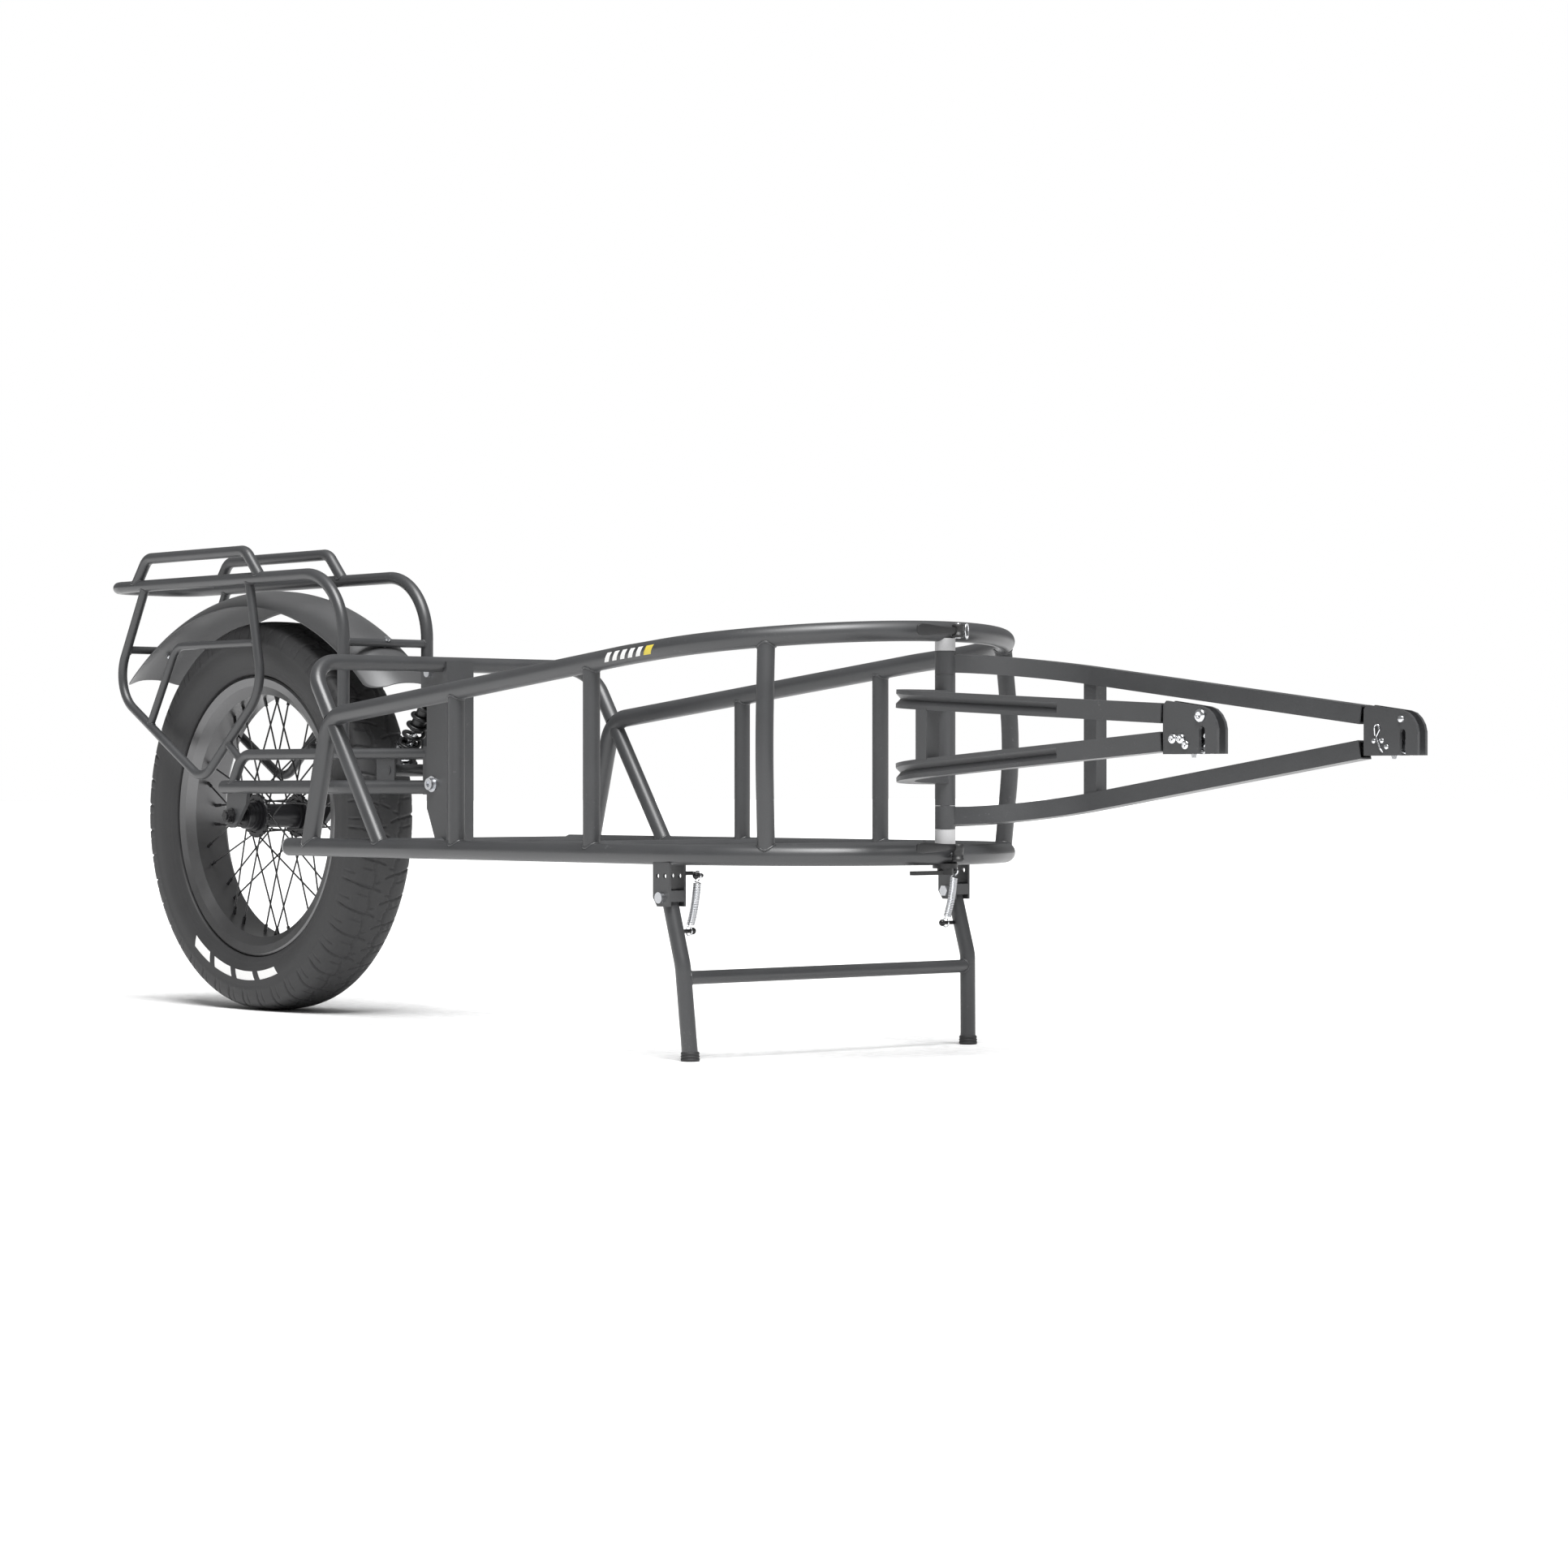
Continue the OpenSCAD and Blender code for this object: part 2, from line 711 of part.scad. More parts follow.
module dropouts() {
  tab = [
    [-15, wheel_z + 6], [-9, swing_z], [44, swing_z], [40, wheel_z + 18], [14, wheel_z - 12], [-12, wheel_z - 12]
  ];
  color(steel) both() difference() {
    union() {
      plate(tab, swing_half - drop_t / 2, swing_half + drop_t / 2);
      pin(0, wheel_z, swing_half - drop_t / 2, swing_half + drop_t / 2, 36);
    }
    pin(0, wheel_z, swing_half - 10, swing_half + 10, axle_d);
    rod(swing_low[0] - [10, 0, 0], swing_low[1], swing_d);
  }
}

// ---------- wheel ----------

hub_half = 62;
flange_y = 37;
flange_d = 62;
flange_t = 3.4;
bearing_d = 28;
bearing_w = 9;

module axle() {
  inner = swing_half - drop_t / 2;
  color(zinc) union() {
    pin(0, wheel_z, -inner - drop_t - 12, inner + drop_t + 12, axle_d);
    both() pin(0, wheel_z, hub_half - 4, inner, axle_d + 5);
  }
}

module axle_nuts() {
  y = swing_half + drop_t / 2;
  color(zinc) both() difference() {
    union() {
      pin(0, wheel_z, y, y + 2, 24);
      hex(0, wheel_z, y + 2, y + 10, 18);
    }
    pin(0, wheel_z, y - 1, y + 11, axle_d);
  }
}

tyre_steps = 14;
tyre_wall = 4;
tread_t = 9;
bead_half = rim_w / 2 - 6;
bead_h = 11;

// Half-width of the tyre at a height h above the rim, 0 at the rim's edge and 1 at the crown
function tyre_swell(h) = (0.8 + 0.2 * sin(min(90, h * 200))) * pow(1 - pow(max(0, h - 0.45) / 0.55, 4.5), 1 / 3);

// One side of the section as (radius, half-width) points, from the bead to the crown
function tyre_side(low, bead, r1, w) = concat(
  [[low, bead], [bead_d / 2 + bead_h, bead + 1]],
  [for (k = [1:tyre_steps]) let (h = k / tyre_steps) [(bead_d / 2 + bead_h) * (1 - h) + r1 * h, w * tyre_swell(h)]]
);
function both_sides(side) = concat(side, [for (k = [len(side) - 2:-1:0]) [side[k][0], -side[k][1]]]);

module tyre() {
  color(black) translate([0, 0, wheel_z]) rotate([90, 0, 0]) rotate_extrude($fn = 96) difference() {
    polygon(both_sides(tyre_side(bead_d / 2, bead_half, wheel_z, tyre_w / 2)));
    polygon(both_sides(tyre_side(bead_d / 2 - 1, bead_half - tyre_wall - 1, wheel_z - tread_t, tyre_w / 2 - tyre_wall)));
  }
}

rim_bed_r = bead_d / 2 - 19;
valve_d = 7.5;
valve_at = 5;
module rim() {
  r = bead_d / 2;
  half = rim_w / 2;
  profile = [
    [rim_bed_r, -half + 14], [r - 6, -half + 3], [r + 6, -half], [r + 9, -half + 2], [r + 6, -half + 4],
    [r, -half + 5], [r, -half + 13], [rim_bed_r + 3, -half + 18], [rim_bed_r + 3, half - 18],
    [r, half - 13], [r, half - 5], [r + 6, half - 4], [r + 9, half - 2], [r + 6, half],
    [r - 6, half - 3], [rim_bed_r, half - 14]
  ];
  color([0.25, 0.25, 0.255]) translate([0, 0, wheel_z]) rotate([90, 0, 0]) difference() {
    rotate_extrude($fn = 96) polygon(profile);
    rotate([0, 0, valve_at]) rotate([0, 90, 0]) cylinder(h = r + 20, d = valve_d + 2 * fit);
  }
}

// Spokes lean forward or back round the hub; heads sit on both faces of each flange
function spoke_list() = [
  for (side = [-1, 1]) for (k = [0:spoke_pairs - 1]) for (lean = [-1, 1])
    let (a = 360 / spoke_pairs * (k + (side > 0 ? 0.5 : 0)) + lean * 5)
    [on_wheel(flange_d / 2 - 5, a + lean * 62, side * (flange_y + lean * 2.2)),
     on_wheel(rim_bed_r - 11, a, side * spoke_rim_y)]
];
function on_wheel(r, a, y) = [r * cos(a), y, wheel_z + r * sin(a)];
spoke_rim_y = 10.6;

module spokes() {
  color(black) for (s = spoke_list()) rod(s[0], s[1], spoke_d);
}

module spoke_nipples() {
  color(black) intersection() {
    for (s = spoke_list()) rod(s[1], s[1] + unit(s[1] - s[0]) * 16, 5);
    pin(0, wheel_z, -rim_w / 2, rim_w / 2, 2 * rim_bed_r);
  }
}

module hub() {
  color(black) difference() {
    union() {
      pin(0, wheel_z, -hub_half, hub_half, bearing_d + 8);
      both() {
        pin(0, wheel_z, flange_y - flange_t / 2, flange_y + flange_t / 2, flange_d);
        pin(0, wheel_z, flange_y - 7, flange_y + 7, flange_d - 16);
      }
    }
    pin(0, wheel_z, -hub_half - 1, hub_half + 1, axle_d + 8);
    both() pin(0, wheel_z, hub_half - bearing_w, hub_half + 1, bearing_d);
    for (s = spoke_list()) rod(s[0], s[1], spoke_d + 0.2);
  }
}

module wheel_bearings() {
  color(zinc) both() difference() {
    pin(0, wheel_z, hub_half - bearing_w, hub_half - 4 - fit, bearing_d);
    pin(0, wheel_z, hub_half - bearing_w - 1, hub_half, axle_d + 2 * run);
  }
}

module valve_stem() {
  color(zinc) translate([0, 0, wheel_z]) rotate([90, 0, 0]) rotate([0, 0, valve_at]) rotate([0, 90, 0])
    translate([0, 0, rim_bed_r - 32]) cylinder(h = 45, d = valve_d);
}

// ---------- rack and mudguard ----------

deck_path = [
  [deck_front, -rack_half, stay_z], [deck_front, -rack_half, deck_z], [-deck_rear, -rack_half, deck_z],
  [-deck_rear, rack_half, deck_z], [deck_front, rack_half, deck_z], [deck_front, rack_half, stay_z]
];
module deck_sides(d) { both() rod([-deck_rear + 48, rack_half, deck_z], [deck_front - 95, rack_half, deck_z], d); }

module rack_deck() {
  color(steel) difference() {
    pipe(deck_path, [95, 48, 48, 95], deck_d, strut_wall);
    both() stay_corner(stay_d);
  }
}

module rack_grips() {
  color(steel) both() difference() {
    pipe([[-282, rack_half, deck_z], [-248, rack_half, grip_z], [28, rack_half, grip_z], [68, rack_half, deck_z]],
         [26, 26], deck_d - 1, strut_wall);
    deck_sides(deck_d);
  }
}

pannier_path = [
  [-252, rack_half, deck_z], [-342, rack_half, 492], [-90, rack_half, 348], [72, rack_half, 484],
  [36, rack_half, deck_z]
];
pannier_radii = [60, 42, 70];
pannier_brace = [[-22, rack_half, 405], [20, swing_half, 380]];
module pannier_frames() {
  inner_d = pannier_d - 2;
  color(steel) both() {
    difference() {
      pipe(pannier_path, pannier_radii, pannier_d, 1.3);
      deck_sides(deck_d);
    }
    difference() {
      pipe([[57, rack_half, 555], [-164, rack_half, 555], [-240, rack_half, 434]], [34], inner_d, 1.2);
      rod(pannier_path[1], pannier_path[2], pannier_d);
      rod(pannier_path[3], pannier_path[4], pannier_d);
    }
    difference() {
      rod_tube(pannier_brace[0], pannier_brace[1], inner_d, 1.2);
      rod(pannier_path[2], pannier_path[3], pannier_d);
      elbow(swing_up[1], unit(swing_up[1] - swing_up[0]), [1, 0, 0], stay_bend, stay_d + swell);
    }
  }
}

guard_bar_d = 12;
guard_bolt_d = 5;
guard_bar_x = [deck_front, -308];
function guard_lean(x) = asin((x - guard_x) / (guard_r + guard_bar_d / 2));

// Frame that stands on the mudguard's outer face under the bar at x
module on_guard(x) {
  translate([guard_x, 0, guard_z]) rotate([0, guard_lean(x), 0]) translate([0, 0, guard_r]) children();
}
module guard_bolt_holes() {
  for (x = guard_bar_x) on_guard(x) translate([0, 0, -20]) cylinder(h = 40, d = guard_bolt_d);
}

module guard_bars() {
  color(steel) difference() {
    for (x = guard_bar_x) on_guard(x) translate([0, 0, guard_bar_d / 2])
      rotate([90, 0, 0]) cylinder(h = 2 * rack_half, d = guard_bar_d, center = true);
    both() {
      rod([deck_front, rack_half, stay_z], [deck_front, rack_half, deck_z - 60], deck_d);
      rod(pannier_path[0], pannier_path[1], pannier_d);
    }
    guard_bolt_holes();
  }
}

// Crowned sheet: a curved strip turned about a line under the wheel
module mudguard() {
  steps = 10;
  crown = function(t, grow) [guard_r + grow - guard_crown * pow(abs(t), 2.4), t * guard_half];
  upper = [for (k = [-steps:steps]) crown(k / steps, 0)];
  lower = [for (k = [steps:-1:-steps]) crown(k / steps, -guard_t)];
  color([0.3, 0.3, 0.31]) difference() {
    translate([guard_x, 0, guard_z]) rotate([90, 0, 0]) rotate([0, 0, guard_from])
      rotate_extrude(angle = guard_sweep, $fn = 96) polygon(concat(upper, lower));
    guard_bolt_holes();
  }
}

module mudguard_bolts() {
  under = guard_t + 0.1;
  nut_h = 4;
  color(zinc) for (x = guard_bar_x) on_guard(x) {
    translate([0, 0, -under - nut_h]) cylinder(h = under + nut_h + guard_bar_d + 2, d = guard_bolt_d);
    translate([0, 0, guard_bar_d]) cylinder(h = 3, d = 10);
    translate([0, 0, -under - nut_h]) cylinder(h = nut_h, d = 9);
  }
}

// ---------- shock ----------

// Local frame of the shock: origin at the lower eye, Z towards the upper eye
module along_shock() {
  translate([shock_low.x, 0, shock_low.y]) rotate([0, shock_turn, 0]) children();
}

module shock_body() {
  bore = damper_rod_d + 2 * fit;
  color(black) along_shock() {
    difference() {
      union() {
        translate([0, 0, 58]) cylinder(h = shock_len - 58 - eye_d / 2 + 2, d = damper_d);
        translate([0, 0, perch_high]) cylinder(h = 5, d = spring_od);
        translate([0, -eye_w / 2, shock_len]) rotate([-90, 0, 0]) cylinder(h = eye_w, d = eye_d);
      }
      translate([0, 0, 57]) cylinder(h = 68, d = bore);
      translate([0, -eye_w, shock_len]) rotate([-90, 0, 0]) cylinder(h = 2 * eye_w, d = shock_bolt_d + 2 * run);
    }
  }
}

module preload_ring() {
  color(zinc) along_shock() difference() {
    translate([0, 0, perch_high - 6]) cylinder(h = 6, d = spring_od - 2);
    translate([0, 0, perch_high - 7]) cylinder(h = 8, d = damper_d);
  }
}

module shock_rod() {
  color(zinc) along_shock() difference() {
    union() {
      translate([0, 0, 5]) cylinder(h = 85, d = damper_rod_d);
      translate([0, 0, perch_low - 5]) cylinder(h = 5, d = spring_od);
      translate([0, 0, 6]) cylinder(h = perch_low - 8, d = 15);
      translate([0, -eye_w / 2, 0]) rotate([-90, 0, 0]) cylinder(h = eye_w, d = eye_d);
    }
    translate([0, -eye_w, 0]) rotate([-90, 0, 0]) cylinder(h = 2 * eye_w, d = shock_bolt_d + 2 * run);
  }
}

// Coil of round wire, swept ring by ring about the local Z axis
module coil(r, wire, z0, z1, turns, rings = 14, sides = 6) {
  n = round(turns * rings);
  lead = (z1 - z0) / (2 * PI * r * turns);
  pts = [for (k = [0:n]) let (a = 360 * k / rings, z = z0 + (z1 - z0) * k / n)
    for (s = [0:sides - 1]) let (b = 360 * s / sides, q = r + wire / 2 * cos(b), e = wire / 2 * sin(b))
      [q * cos(a) + e * lead * sin(a), q * sin(a) - e * lead * cos(a), z + e]];
  sidewalls = [for (k = [0:n - 1]) for (s = [0:sides - 1]) let (t = (s + 1) % sides)
    [k * sides + s, k * sides + t, (k + 1) * sides + t, (k + 1) * sides + s]];
  polyhedron(pts, concat(sidewalls, [[for (s = [sides - 1:-1:0]) s]], [[for (s = [0:sides - 1]) n * sides + s]]));
}

module shock_spring() {
  gap = spring_wire / 2 + fit;
  color(black) along_shock()
    coil(spring_od / 2 - spring_wire / 2, spring_wire, perch_low + gap, perch_high - 6 - gap, coils);
}

// ---------- kickstand ----------

leg_path = [
  [stand_x, stand_y, stand_z], [stand_x + 26, stand_y, 118], [stand_x + 33, stand_y - 6, 5]
];
bar_z = 103;

module stand_brackets() {
  half = bracket_w / 2;
  color(steel) both() translate([0, stand_y, 0]) difference() {
    union() {
      for (s = [-1, 1]) translate([0, s * (half - bracket_t / 2) - bracket_t / 2, 0])
        plate([[stand_x - 16, floor_z], [stand_x - 16, stand_z], [stand_x - 8, bracket_low],
               [stand_x + 16, bracket_low], [stand_x + 16, floor_z]], 0, bracket_t);
      translate([stand_x + 16 - bracket_t, -half, bracket_low + 6]) cube([bracket_t, bracket_w, 14]);
    }
    translate([0, -stand_y, 0]) rod([stand_x - 40, basket_half, floor_z], [stand_x + 40, basket_half, floor_z], rail_d);
    pin(stand_x, stand_z, -half - 1, half + 1, leg_bolt_d);
    for (x = [stand_x - 7, stand_x + 7]) pin(x, stand_z + 27, -half - 1, half + 1, 6);
  }
}

module stand_bolts() {
  half = bracket_w / 2;
  color(zinc) both() translate([0, stand_y, 0]) union() {
    pin(stand_x, stand_z, -half - 2, half + 1, leg_bolt_d);
    pin(stand_x, stand_z, half, half + 5, 14);
    hex(stand_x, stand_z, -half - 6.5, -half, 13);
  }
}

// Bent rods that carry the fixed ends of the stand springs
module spring_hooks() {
  start = stand_y - bracket_w / 2;
  color(zinc) both() {
    bar([[stand_x + 8, start, hook_at.y + 3], [stand_x + 8, hook_y, hook_at.y + 3],
         [hook_at.x, hook_y, hook_at.y], [hook_at.x, spring_y + 4, hook_at.y]], [5, 5], 5);
    translate([hook_at.x, spring_y + 4, hook_at.y]) sphere(d = 8);
  }
}

module kickstand_legs() {
  color(steel) {
    difference() {
      both() {
        bar(leg_path, [50], leg_d);
        pin(stand_x, stand_z, stand_y - leg_d / 2 + 0.6, stand_y + leg_d / 2 - 0.6, leg_d + 1);
      }
      both() pin(stand_x, stand_z, stand_y - leg_d, stand_y + leg_d, leg_bolt_d + 2 * run);
      translate([stand_x, -2 * stand_y, -20]) cube([60, 4 * stand_y, 25]);
    }
    difference() {
      rod_tube([stand_x + 27, -stand_y, bar_z], [stand_x + 27, stand_y, bar_z], leg_d - 3, strut_wall);
      both() rod(leg_path[1], leg_path[2], leg_d);
    }
  }
}

module kickstand_feet() {
  color(black) both() difference() {
    translate([leg_path[2].x, leg_path[2].y, 0]) cylinder(h = foot_h, d = leg_d + 4);
    bar(leg_path, [50], leg_d);
    translate([leg_path[2].x, leg_path[2].y, 5]) cylinder(h = foot_h, d = leg_d - 4);
  }
}

module spring_studs() {
  color(zinc) both() difference() {
    union() {
      pin(stud_at.x, stud_at.y, spring_y - 5, stand_y - 5, 5);
      translate([stud_at.x, spring_y - 5, stud_at.y]) sphere(d = 9);
    }
    bar(leg_path, [50], leg_d);
  }
}

module stand_springs() {
  len_s = norm(hook_at - stud_at);
  lean = atan2(hook_at.x - stud_at.x, hook_at.y - stud_at.y);
  color(zinc) both() translate([stud_at.x, spring_y + 1, stud_at.y]) rotate([0, lean, 0]) {
    difference() {
      translate([0, 0, 12]) cylinder(h = len_s - 24, d = 10.2);
      translate([0, 0, 14]) cylinder(h = len_s - 28, d = 6.6);
    }
    for (z = [0, len_s]) translate([0, 0, z]) rotate([90, 0, 0]) rotate_extrude() translate([5.9, 0]) circle(d = 1.8);
    rod([0, 0, 5.5], [0, 0, 13], 1.8);
    rod([0, 0, len_s - 13], [0, 0, len_s - 5.5], 1.8);
  }
}

// ---------- yoke arms ----------

// Square tube section with a pressed groove in its outer face; x is outwards
function arm_section(s, g) = [
  [-s, -s], [s, -s], [s, -s * 0.55], [s - g, 0], [s, s * 0.55], [s, s], [-s, s]
];

// Arm tube in its own plane: out of the head, round a quarter bend, then forward
module arm_tube(s, g, ext) {
  straight = (plate_front - plate_len - head_x - arm_bend * (1 - sin(arm_yaw))) / cos(arm_yaw);
  translate([arm_bend, arm_start, 0]) rotate([0, 0, 180]) mirror([0, 1, 0]) {
    rotate_extrude(angle = 90 - arm_yaw, $fn = 96) translate([arm_bend, 0]) polygon(arm_section(s, g));
    rotate([0, 0, 90 - arm_yaw]) translate([arm_bend, 0, 0]) rotate([-90, 0, 0]) {
      linear_extrude(groove_end) polygon([for (p = arm_section(s, g)) [p[0], -p[1]]]);
      translate([0, 0, groove_end - 0.01]) linear_extrude(straight - groove_end + ext)
        polygon([for (p = arm_section(s, 0)) [p[0], -p[1]]]);
    }
    translate([arm_bend, 0, 0]) rotate([90, 0, 0]) linear_extrude(arm_start - 2) polygon(arm_section(s, g));
  }
}

// One arm tube of the left side, from height z0 at the head to z1 at the hitch plates
module arm_pipe(z0, z1) {
  run_x = plate_front - plate_len - head_x;
  translate([head_x, 0, z0]) rotate([0, -atan((z1 - z0) / run_x), 0]) difference() {
    arm_tube(arm_sq / 2, groove, 0);
    arm_tube(arm_sq / 2 - arm_wall, groove, 2);
  }
}

// Upright strut between the two tubes of one arm
strut_x = head_x + 119;
strut_y = arm_start + arm_bend + 1;
module arm_strut(z0, z1) {
  translate([strut_x, strut_y, z0]) rotate([0, 0, arm_yaw]) difference() {
    translate([-10, -10, 0]) cube([20, 20, z1 - z0]);
    translate([-8.4, -8.4, 1]) cube([16.8, 16.8, z1 - z0 - 2]);
  }
}

function arm_z(z0, z1, x) = z0 + (z1 - z0) * (x - head_x) / (plate_front - plate_len - head_x);

module head_sleeve(z, h) {
  translate([head_x, 0, z]) cylinder(h = h, d = head_d);
}

hitch_up = [421, 423];
hitch_dn = [390, 384];
left_up = collar_up_z + collar_up_h / 2;
left_dn = collar_low_z + collar_low_h / 2 + 1;
right_up = barrel_z + barrel_h - 30;
right_dn = barrel_z + 38;

module left_arm() {
  color(steel) difference() {
    union() {
      arm_pipe(left_up, hitch_up[1]);
      arm_pipe(left_dn, hitch_dn[1]);
      arm_strut(arm_z(left_dn, hitch_dn[1], strut_x) + arm_sq / 2 - 1,
                arm_z(left_up, hitch_up[1], strut_x) - arm_sq / 2 + 1);
      head_sleeve(collar_low_z, collar_low_h);
      head_sleeve(collar_up_z, collar_up_h);
    }
    translate([head_x, 0, collar_low_z - 1]) cylinder(h = collar_up_z + collar_up_h - collar_low_z + 2,
      d = head_pin_d + 2 * run + 0.1);
    translate([head_x, 0, barrel_z - fit]) cylinder(h = barrel_h + 2 * fit, d = head_d + 2);
    translate([head_x - 40, -40, collar_low_z - 20]) cube([80, 80, 20]);
    translate([head_x - 40, -40, collar_up_z + collar_up_h]) cube([80, 80, 20]);
  }
}

module right_arm() {
  color(steel) difference() {
    union() {
      mirror([0, 1, 0]) {
        arm_pipe(right_up, hitch_up[0]);
        arm_pipe(right_dn, hitch_dn[0]);
        arm_strut(arm_z(right_dn, hitch_dn[0], strut_x) + arm_sq / 2 - 1,
                  arm_z(right_up, hitch_up[0], strut_x) - arm_sq / 2 + 1);
      }
      head_sleeve(barrel_z, barrel_h);
    }
    translate([head_x, 0, barrel_z - 1]) cylinder(h = barrel_h + 2, d = head_pin_d + 2 * run + 0.1);
  }
}

// ---------- hitch ----------

plate_rear = plate_front - plate_len;
plate_outline = [
  [plate_rear, plate_low], [plate_front, plate_low], [plate_front, plate_high - 32],
  [plate_front - 2, plate_high - 24], [plate_front - 7, plate_high - 16], [plate_front - 14, plate_high - 10],
  [plate_front - 23, plate_high - 7], [plate_rear + 5, plate_high], [plate_rear, plate_high - 5]
];
bolt_spots = [[plate_rear + 15, 393], [plate_rear + 27, 393]];
top_bolt = [plate_front - 24, 418];

// Two plates with a block between their rear ends, at +Y; the outer plate is the one at larger Y
module hitch_pack() {
  y0 = hitch_half - pack_w / 2;
  difference() {
    union() {
      plate(plate_outline, y0, y0 + plate_t);
      plate(plate_outline, y0 + pack_w - plate_t, y0 + pack_w);
      plate([[plate_rear, plate_low + 2], [plate_rear + 21, plate_low + 2], [plate_rear + 21, plate_high - 6],
             [plate_rear, plate_high - 6]], y0 + plate_t - 0.01, y0 + pack_w - plate_t + 0.01);
    }
    plate([[slot_x - slot_w / 2, plate_low - 1], [slot_x + slot_w / 2, plate_low - 1],
           [slot_x + slot_w / 2, slot_top], [slot_x - slot_w / 2, slot_top]], y0 - 1, y0 + pack_w + 1);
    pin(slot_x, slot_top, y0 - 1, y0 + pack_w + 1, slot_w);
    pin(top_bolt.x, top_bolt.y, y0 - 1, y0 + pack_w + 1, 8);
    pin(latch_pivot.x, latch_pivot.y, y0 - 1, y0 + pack_w + 1, 6);
    for (b = bolt_spots) pin(b.x, b.y, y0 - 1, y0 + pack_w + 1, 6);
  }
}

// Bolts, rivets, the latch's pin and a spring clip; heads on the outer face, the clip on the inner face
module hitch_fasteners() {
  y0 = hitch_half - pack_w / 2;
  y1 = y0 + pack_w;
  pin(top_bolt.x, top_bolt.y, y0, y1 + 0.5, 8);
  pin(top_bolt.x, top_bolt.y, y1, y1 + 4, 15);
  pin(top_bolt.x, top_bolt.y, y0 - 2.5, y0, 6);
  pin(latch_pivot.x, latch_pivot.y, y0 - 1, y1 + 0.5, 6);
  pin(latch_pivot.x, latch_pivot.y, y1, y1 + 3, 10);
  for (b = bolt_spots) {
    pin(b.x, b.y, y0 - 1, y1 + 0.5, 6);
    pin(b.x, b.y, y1, y1 + 3.5, 11.5);
  }
  translate([plate_rear + 24, y0 - clip_d / 2, 407]) rotate([90, 0, 0]) rotate([0, 0, -35])
    rotate_extrude(angle = 250) translate([6, 0]) circle(d = clip_d);
}

// Flat latch between the plates; its nose closes the slot and its tail hangs below
module latch() {
  y0 = hitch_half - latch_t / 2;
  p = latch_pivot;
  nose = [
    [p.x, p.y + 6], [p.x + 16, p.y + 7], [slot_x + 1, p.y + 9], [slot_x + 4, p.y + 6], [slot_x - 1, p.y + 1],
    [slot_x + 3, p.y - 4], [slot_x + 1, p.y - 8], [slot_x - 6, p.y - 3], [p.x + 12, p.y - 5],
    [p.x + 9, p.y - 14], [p.x + 3, p.y - 14], [p.x, p.y - 6]
  ];
  difference() {
    union() {
      plate(nose, y0, y0 + latch_t);
      pin(p.x, p.y, y0, y0 + latch_t, 13);
    }
    pin(p.x, p.y, y0 - 1, y0 + latch_t + 1, 6 + 2 * run);
  }
}

module left_hitch_plates() { color(steel) hitch_pack(); }
module right_hitch_plates() { color(steel) mirror([0, 1, 0]) hitch_pack(); }
module left_hitch_bolts() { color(zinc) hitch_fasteners(); }
module right_hitch_bolts() { color(zinc) mirror([0, 1, 0]) hitch_fasteners(); }
module left_latch() { color(zinc) latch(); }
module right_latch() { color(zinc) mirror([0, 1, 0]) latch(); }

module placed() { translate([-mid_x, 0, 0]) children(); }

placed() lower_rail();
placed() upper_rail();
placed() side_struts();
placed() cross_tubes();
placed() rear_hoop();
placed() rear_braces();
placed() rail_end_caps();
placed() pivot_post();
placed() head_spacer_upper();
placed() head_spacer_lower();
placed() head_pin();
placed() head_pin_handle();
placed() head_cross_bolt();
placed() head_lever();
placed() low_lever();
placed() pivot_bolt();
placed() pivot_nut();
placed() shock_upper_bolt();
placed() shock_spacers();
placed() stand_brackets();
placed() stand_bolts();
placed() spring_hooks();
placed() swing_tubes();
placed() swing_stays();
placed() pivot_block();
placed() pivot_bushes();
placed() shock_mount();
placed() shock_lower_bolt();
placed() dropouts();
placed() axle();
placed() axle_nuts();
placed() rack_deck();
placed() rack_grips();
placed() pannier_frames();
placed() guard_bars();
placed() mudguard();
placed() mudguard_bolts();
placed() tyre();
placed() rim();
placed() spokes();
placed() spoke_nipples();
placed() hub();
placed() wheel_bearings();
placed() valve_stem();
placed() shock_body();
placed() preload_ring();
placed() shock_rod();
placed() shock_spring();
placed() kickstand_legs();
placed() kickstand_feet();
placed() spring_studs();
placed() stand_springs();
placed() right_arm();
placed() right_hitch_plates();
placed() right_hitch_bolts();
placed() right_latch();
placed() left_arm();
placed() left_hitch_plates();
placed() left_hitch_bolts();
placed() left_latch();
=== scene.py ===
import json
import math
import bpy
import bmesh
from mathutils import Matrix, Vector


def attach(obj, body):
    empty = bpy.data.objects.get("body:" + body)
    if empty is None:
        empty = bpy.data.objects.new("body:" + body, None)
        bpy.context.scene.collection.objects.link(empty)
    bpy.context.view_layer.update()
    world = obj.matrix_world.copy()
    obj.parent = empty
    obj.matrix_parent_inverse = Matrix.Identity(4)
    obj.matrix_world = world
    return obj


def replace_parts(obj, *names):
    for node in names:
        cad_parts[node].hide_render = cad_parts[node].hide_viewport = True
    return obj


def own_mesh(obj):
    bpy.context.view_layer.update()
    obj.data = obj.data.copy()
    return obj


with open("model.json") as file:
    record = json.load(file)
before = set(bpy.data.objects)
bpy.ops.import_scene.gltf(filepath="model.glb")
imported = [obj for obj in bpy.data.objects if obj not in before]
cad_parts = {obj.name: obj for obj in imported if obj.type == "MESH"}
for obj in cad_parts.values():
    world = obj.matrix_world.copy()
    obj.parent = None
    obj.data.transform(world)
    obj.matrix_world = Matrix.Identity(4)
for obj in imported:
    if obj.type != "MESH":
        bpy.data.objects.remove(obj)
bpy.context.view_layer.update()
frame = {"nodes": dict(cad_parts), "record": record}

# All lengths below are in millimetres in the drawing frame, where X runs forward
# and the wheel axle is over the origin.
MID_X = 854.5
